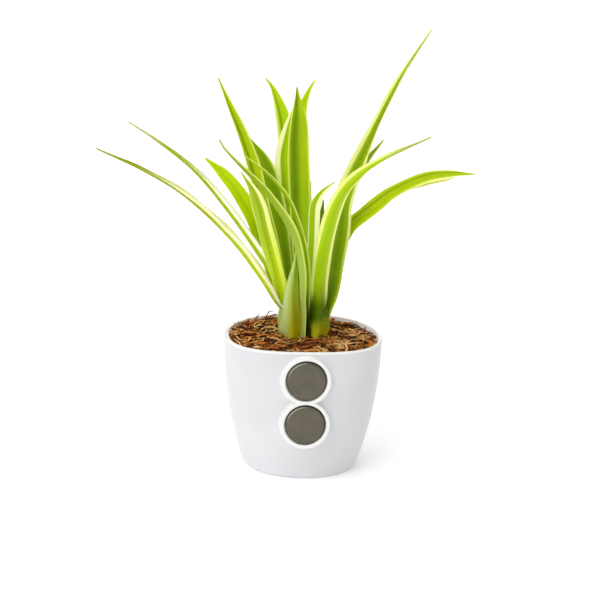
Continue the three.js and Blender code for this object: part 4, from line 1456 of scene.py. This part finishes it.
def fibre_tree():
    """Lays curved fibres over a surface at random, each pushed back inside the rim."""
    sizes = [(name, "Int" if name in ("Bends", "Seed") else "Float", value)
             for name, value in FIBRES["fine_fibres"].items()]
    sizes += [("Side reach", "Float", (RIM_RADIUS - FIBRE_INSET) * MM),
              ("Front reach", "Float", (FRONT_RIM - FIBRE_INSET) * MM)]
    tree, given = new_tree("coir_fibres", sizes)
    seed = given["Seed"]

    def chance(low, high, own, kind="FLOAT"):
        inputs = {"Seed": plus(tree, seed, float(own))}
        node = add_node(tree, "FunctionNodeRandomValue", inputs, data_type=kind)
        low_socket, high_socket, result = {"FLOAT": (2, 3, 1), "FLOAT_VECTOR": (0, 1, 0)}[kind]
        feed(tree, node.inputs[low_socket], low)
        feed(tree, node.inputs[high_socket], high)
        return node.outputs[result]

    # Straight fibres, turned any way and a little tilted
    points = output(tree, "GeometryNodeDistributePointsOnFaces", {
        "Mesh": given["Geometry"], "Density": given["Fibres per square metre"], "Seed": seed})
    line = output(tree, "GeometryNodeCurvePrimitiveLine", {"Start": (-0.5, 0, 0), "End": (0.5, 0, 0)})
    line = output(tree, "GeometryNodeResampleCurve", {"Curve": line, "Count": given["Bends"]})
    tilt = given["Tilt"]
    least = joined(tree, 0.0, times(tree, tilt, -1.0), 0.0)
    most = joined(tree, 0.0, tilt, 2 * math.pi)
    laid = output(tree, "GeometryNodeInstanceOnPoints", {
        "Points": points, "Instance": line, "Rotation": chance(least, most, 1, "FLOAT_VECTOR"),
        "Scale": chance(given["Shortest"], given["Longest"], 2)})
    laid = stored(tree, laid, "fibre", chance(0.0, 1.0, 3), "FLOAT", "INSTANCE")
    own_girth = chance(given["Thinnest"], given["Thickest"], 4)
    laid = stored(tree, laid, "girth", own_girth, "FLOAT", "INSTANCE")
    laid = output(tree, "GeometryNodeRealizeInstances", {"Geometry": laid})

    # Bent by a noise that is different for each fibre
    where = output(tree, "GeometryNodeInputPosition")
    own = times(tree, named(tree, "fibre"), NOISE_APART)
    wander = add_node(tree, "ShaderNodeTexNoise", {
        "Vector": vector_calc(tree, "ADD", scaled(tree, where, BEND_CLOSENESS), joined(tree, own, own, own)),
        "Scale": 1.0, "Detail": 1.0}, noise_dimensions="3D").outputs["Color"]
    wander = vector_calc(tree, "SUBTRACT", wander, (0.5, 0.5, 0.5))
    wander = vector_calc(tree, "MULTIPLY", wander, BEND_SPREAD)
    bent = vector_calc(tree, "ADD", where, scaled(tree, wander, given["Curl"]))
    bent = vector_calc(tree, "ADD", bent, joined(tree, 0.0, 0.0, given["Lift"]))

    # Kept inside the pot's plan
    parts = split(tree, bent)
    front = calc(tree, "LESS_THAN", parts["Y"], 0.0)
    side_reach = given["Side reach"]
    deep_reach = plus(tree, side_reach, times(tree, front, less(tree, given["Front reach"], side_reach)))
    power = calc(tree, "MULTIPLY_ADD", front, FIBRE_SQUARENESS, 2.0)
    x_share, y_share = (
        calc(tree, "POWER", calc(tree, "ABSOLUTE", calc(tree, "DIVIDE", part, reach)), power)
        for part, reach in ((parts["X"], side_reach), (parts["Y"], deep_reach)))
    out = calc(tree, "POWER", plus(tree, x_share, y_share), calc(tree, "DIVIDE", 1.0, power))
    pull = calc(tree, "DIVIDE", 1.0, calc(tree, "MAXIMUM", out, 1.0))
    inside = vector_calc(tree, "MULTIPLY", bent, joined(tree, pull, pull, 1.0))
    laid = output(tree, "GeometryNodeSetPosition", {"Geometry": laid, "Position": inside})

    # Tubes that taper to their ends
    factor = add_node(tree, "GeometryNodeSplineParameter").outputs["Factor"]
    end = calc(tree, "ABSOLUTE", calc(tree, "MULTIPLY_ADD", factor, 2.0, -1.0))
    taper = less(tree, 1.0, calc(tree, "POWER", end, FIBRE_TAPER))
    taper = calc(tree, "MULTIPLY_ADD", taper, 1 - FIBRE_END, FIBRE_END)
    girth = times(tree, named(tree, "girth"), taper)
    ring = output(tree, "GeometryNodeCurvePrimitiveCircle", {"Resolution": FIBRE_SIDES, "Radius": 1.0})
    tubes = output(tree, "GeometryNodeSetCurveRadius", {"Curve": laid, "Radius": girth})
    parts = {"Curve": tubes, "Profile Curve": ring, "Fill Caps": True}
    swept = add_node(tree, "GeometryNodeCurveToMesh", parts)
    if "Scale" in swept.inputs:  # where the node has it, it takes the place of the curve's radius
        tree.links.new(girth, swept.inputs["Scale"])
    finish_tree(tree, swept.outputs[0], given["Material"])
    return tree


def make_fibres(rings, finish):
    """Fine and coarse loose fibres over the top of the bed."""
    tree = fibre_tree()
    for name, sizes in FIBRES.items():
        points, faces = sheet(rings)
        surface = bpy.data.meshes.new("fibre_surface")
        surface.from_pydata([p * MM for p in points], [], faces)
        keep(name, shaped(name, surface, tree, finish, sizes), finish, "coir")


def tapered_tube(points, radius, steps, roughness, own):
    """A wiry strand: a slightly uneven round tube whose ends come nearly to a point."""
    path = smooth_path(points)
    lengths = lengths_along(path)
    rings = []
    for step in range(steps + 1):
        share = step / steps
        centre, run = at_length(path, lengths, lengths[-1] * share)
        side = run.cross(Vector((0, 0, 1)))
        side = side.normalized() if side.length > STRAND_UPRIGHT else Vector((1, 0, 0))
        over = side.cross(run)
        swell = 1 + roughness * noise.noise(Vector((share * 9, own, 0)))
        reach = radius * swell * (1 - 0.8 * abs(2 * share - 1) ** 5)
        angles = round_angles(STRAND_SIDES)
        rings.append([centre + reach * (math.cos(a) * side + math.sin(a) * over) for a in angles])
    return skin(rings)


def lying_points(x, y, way, length, bow, own):
    """The path of a bowed strand that lies on the fibre."""
    turn = math.radians(way)
    points = []
    for i in range(STRAND_POINTS):
        share = i / (STRAND_POINTS - 1) - 0.5
        off = bow * (1 - 4 * share ** 2)
        px = x + share * length * math.cos(turn) - off * math.sin(turn)
        py = y + share * length * math.sin(turn) + off * math.cos(turn)
        sway = STRAND_SWAY * noise.noise(Vector((i * 1.3, own * 5.1, 0)))
        points.append((px, py, coir_height(px, py) + STRAND_LIFT + sway))
    return points


def make_strands(finish):
    """The thickest loose strands, which lie on top, and the one that stands up in a loop."""
    for number, strand in enumerate(STRANDS, 1):
        points = lying_points(*strand, number)
        mesh = mesh_of("strand", *tapered_tube(
            points, STRAND_RADIUS, STRAND_STEPS, STRAND_ROUGHNESS, number))
        give_tone(mesh, STRAND_TONE + TONE_STEP * number)
        keep(f"loose_strand_{number}", mesh, finish, "coir_strand", f"coir_strand_{number}")
    mesh = mesh_of("strand", *tapered_tube(
        LOOP_STRAND, LOOP_RADIUS, LOOP_STEPS, LOOP_ROUGHNESS, LOOP_OWN))
    give_tone(mesh, LOOP_TONE)
    keep("standing_strand", mesh, finish, "coir_strand", "coir_strand_loop")


make_camera()
make_lights()
make_floor()
make_pot(pot_plastic())
make_magnets(magnet_metal())
make_crowns()
make_leaves()
bed_rings = make_coir_bed(fibre_finish("coir_bed_fibre", BED_SPREAD))
fibre = fibre_finish("coir_fibre", FIBRE_SPREAD)
make_fibres(bed_rings, fibre)
make_strands(fibre)
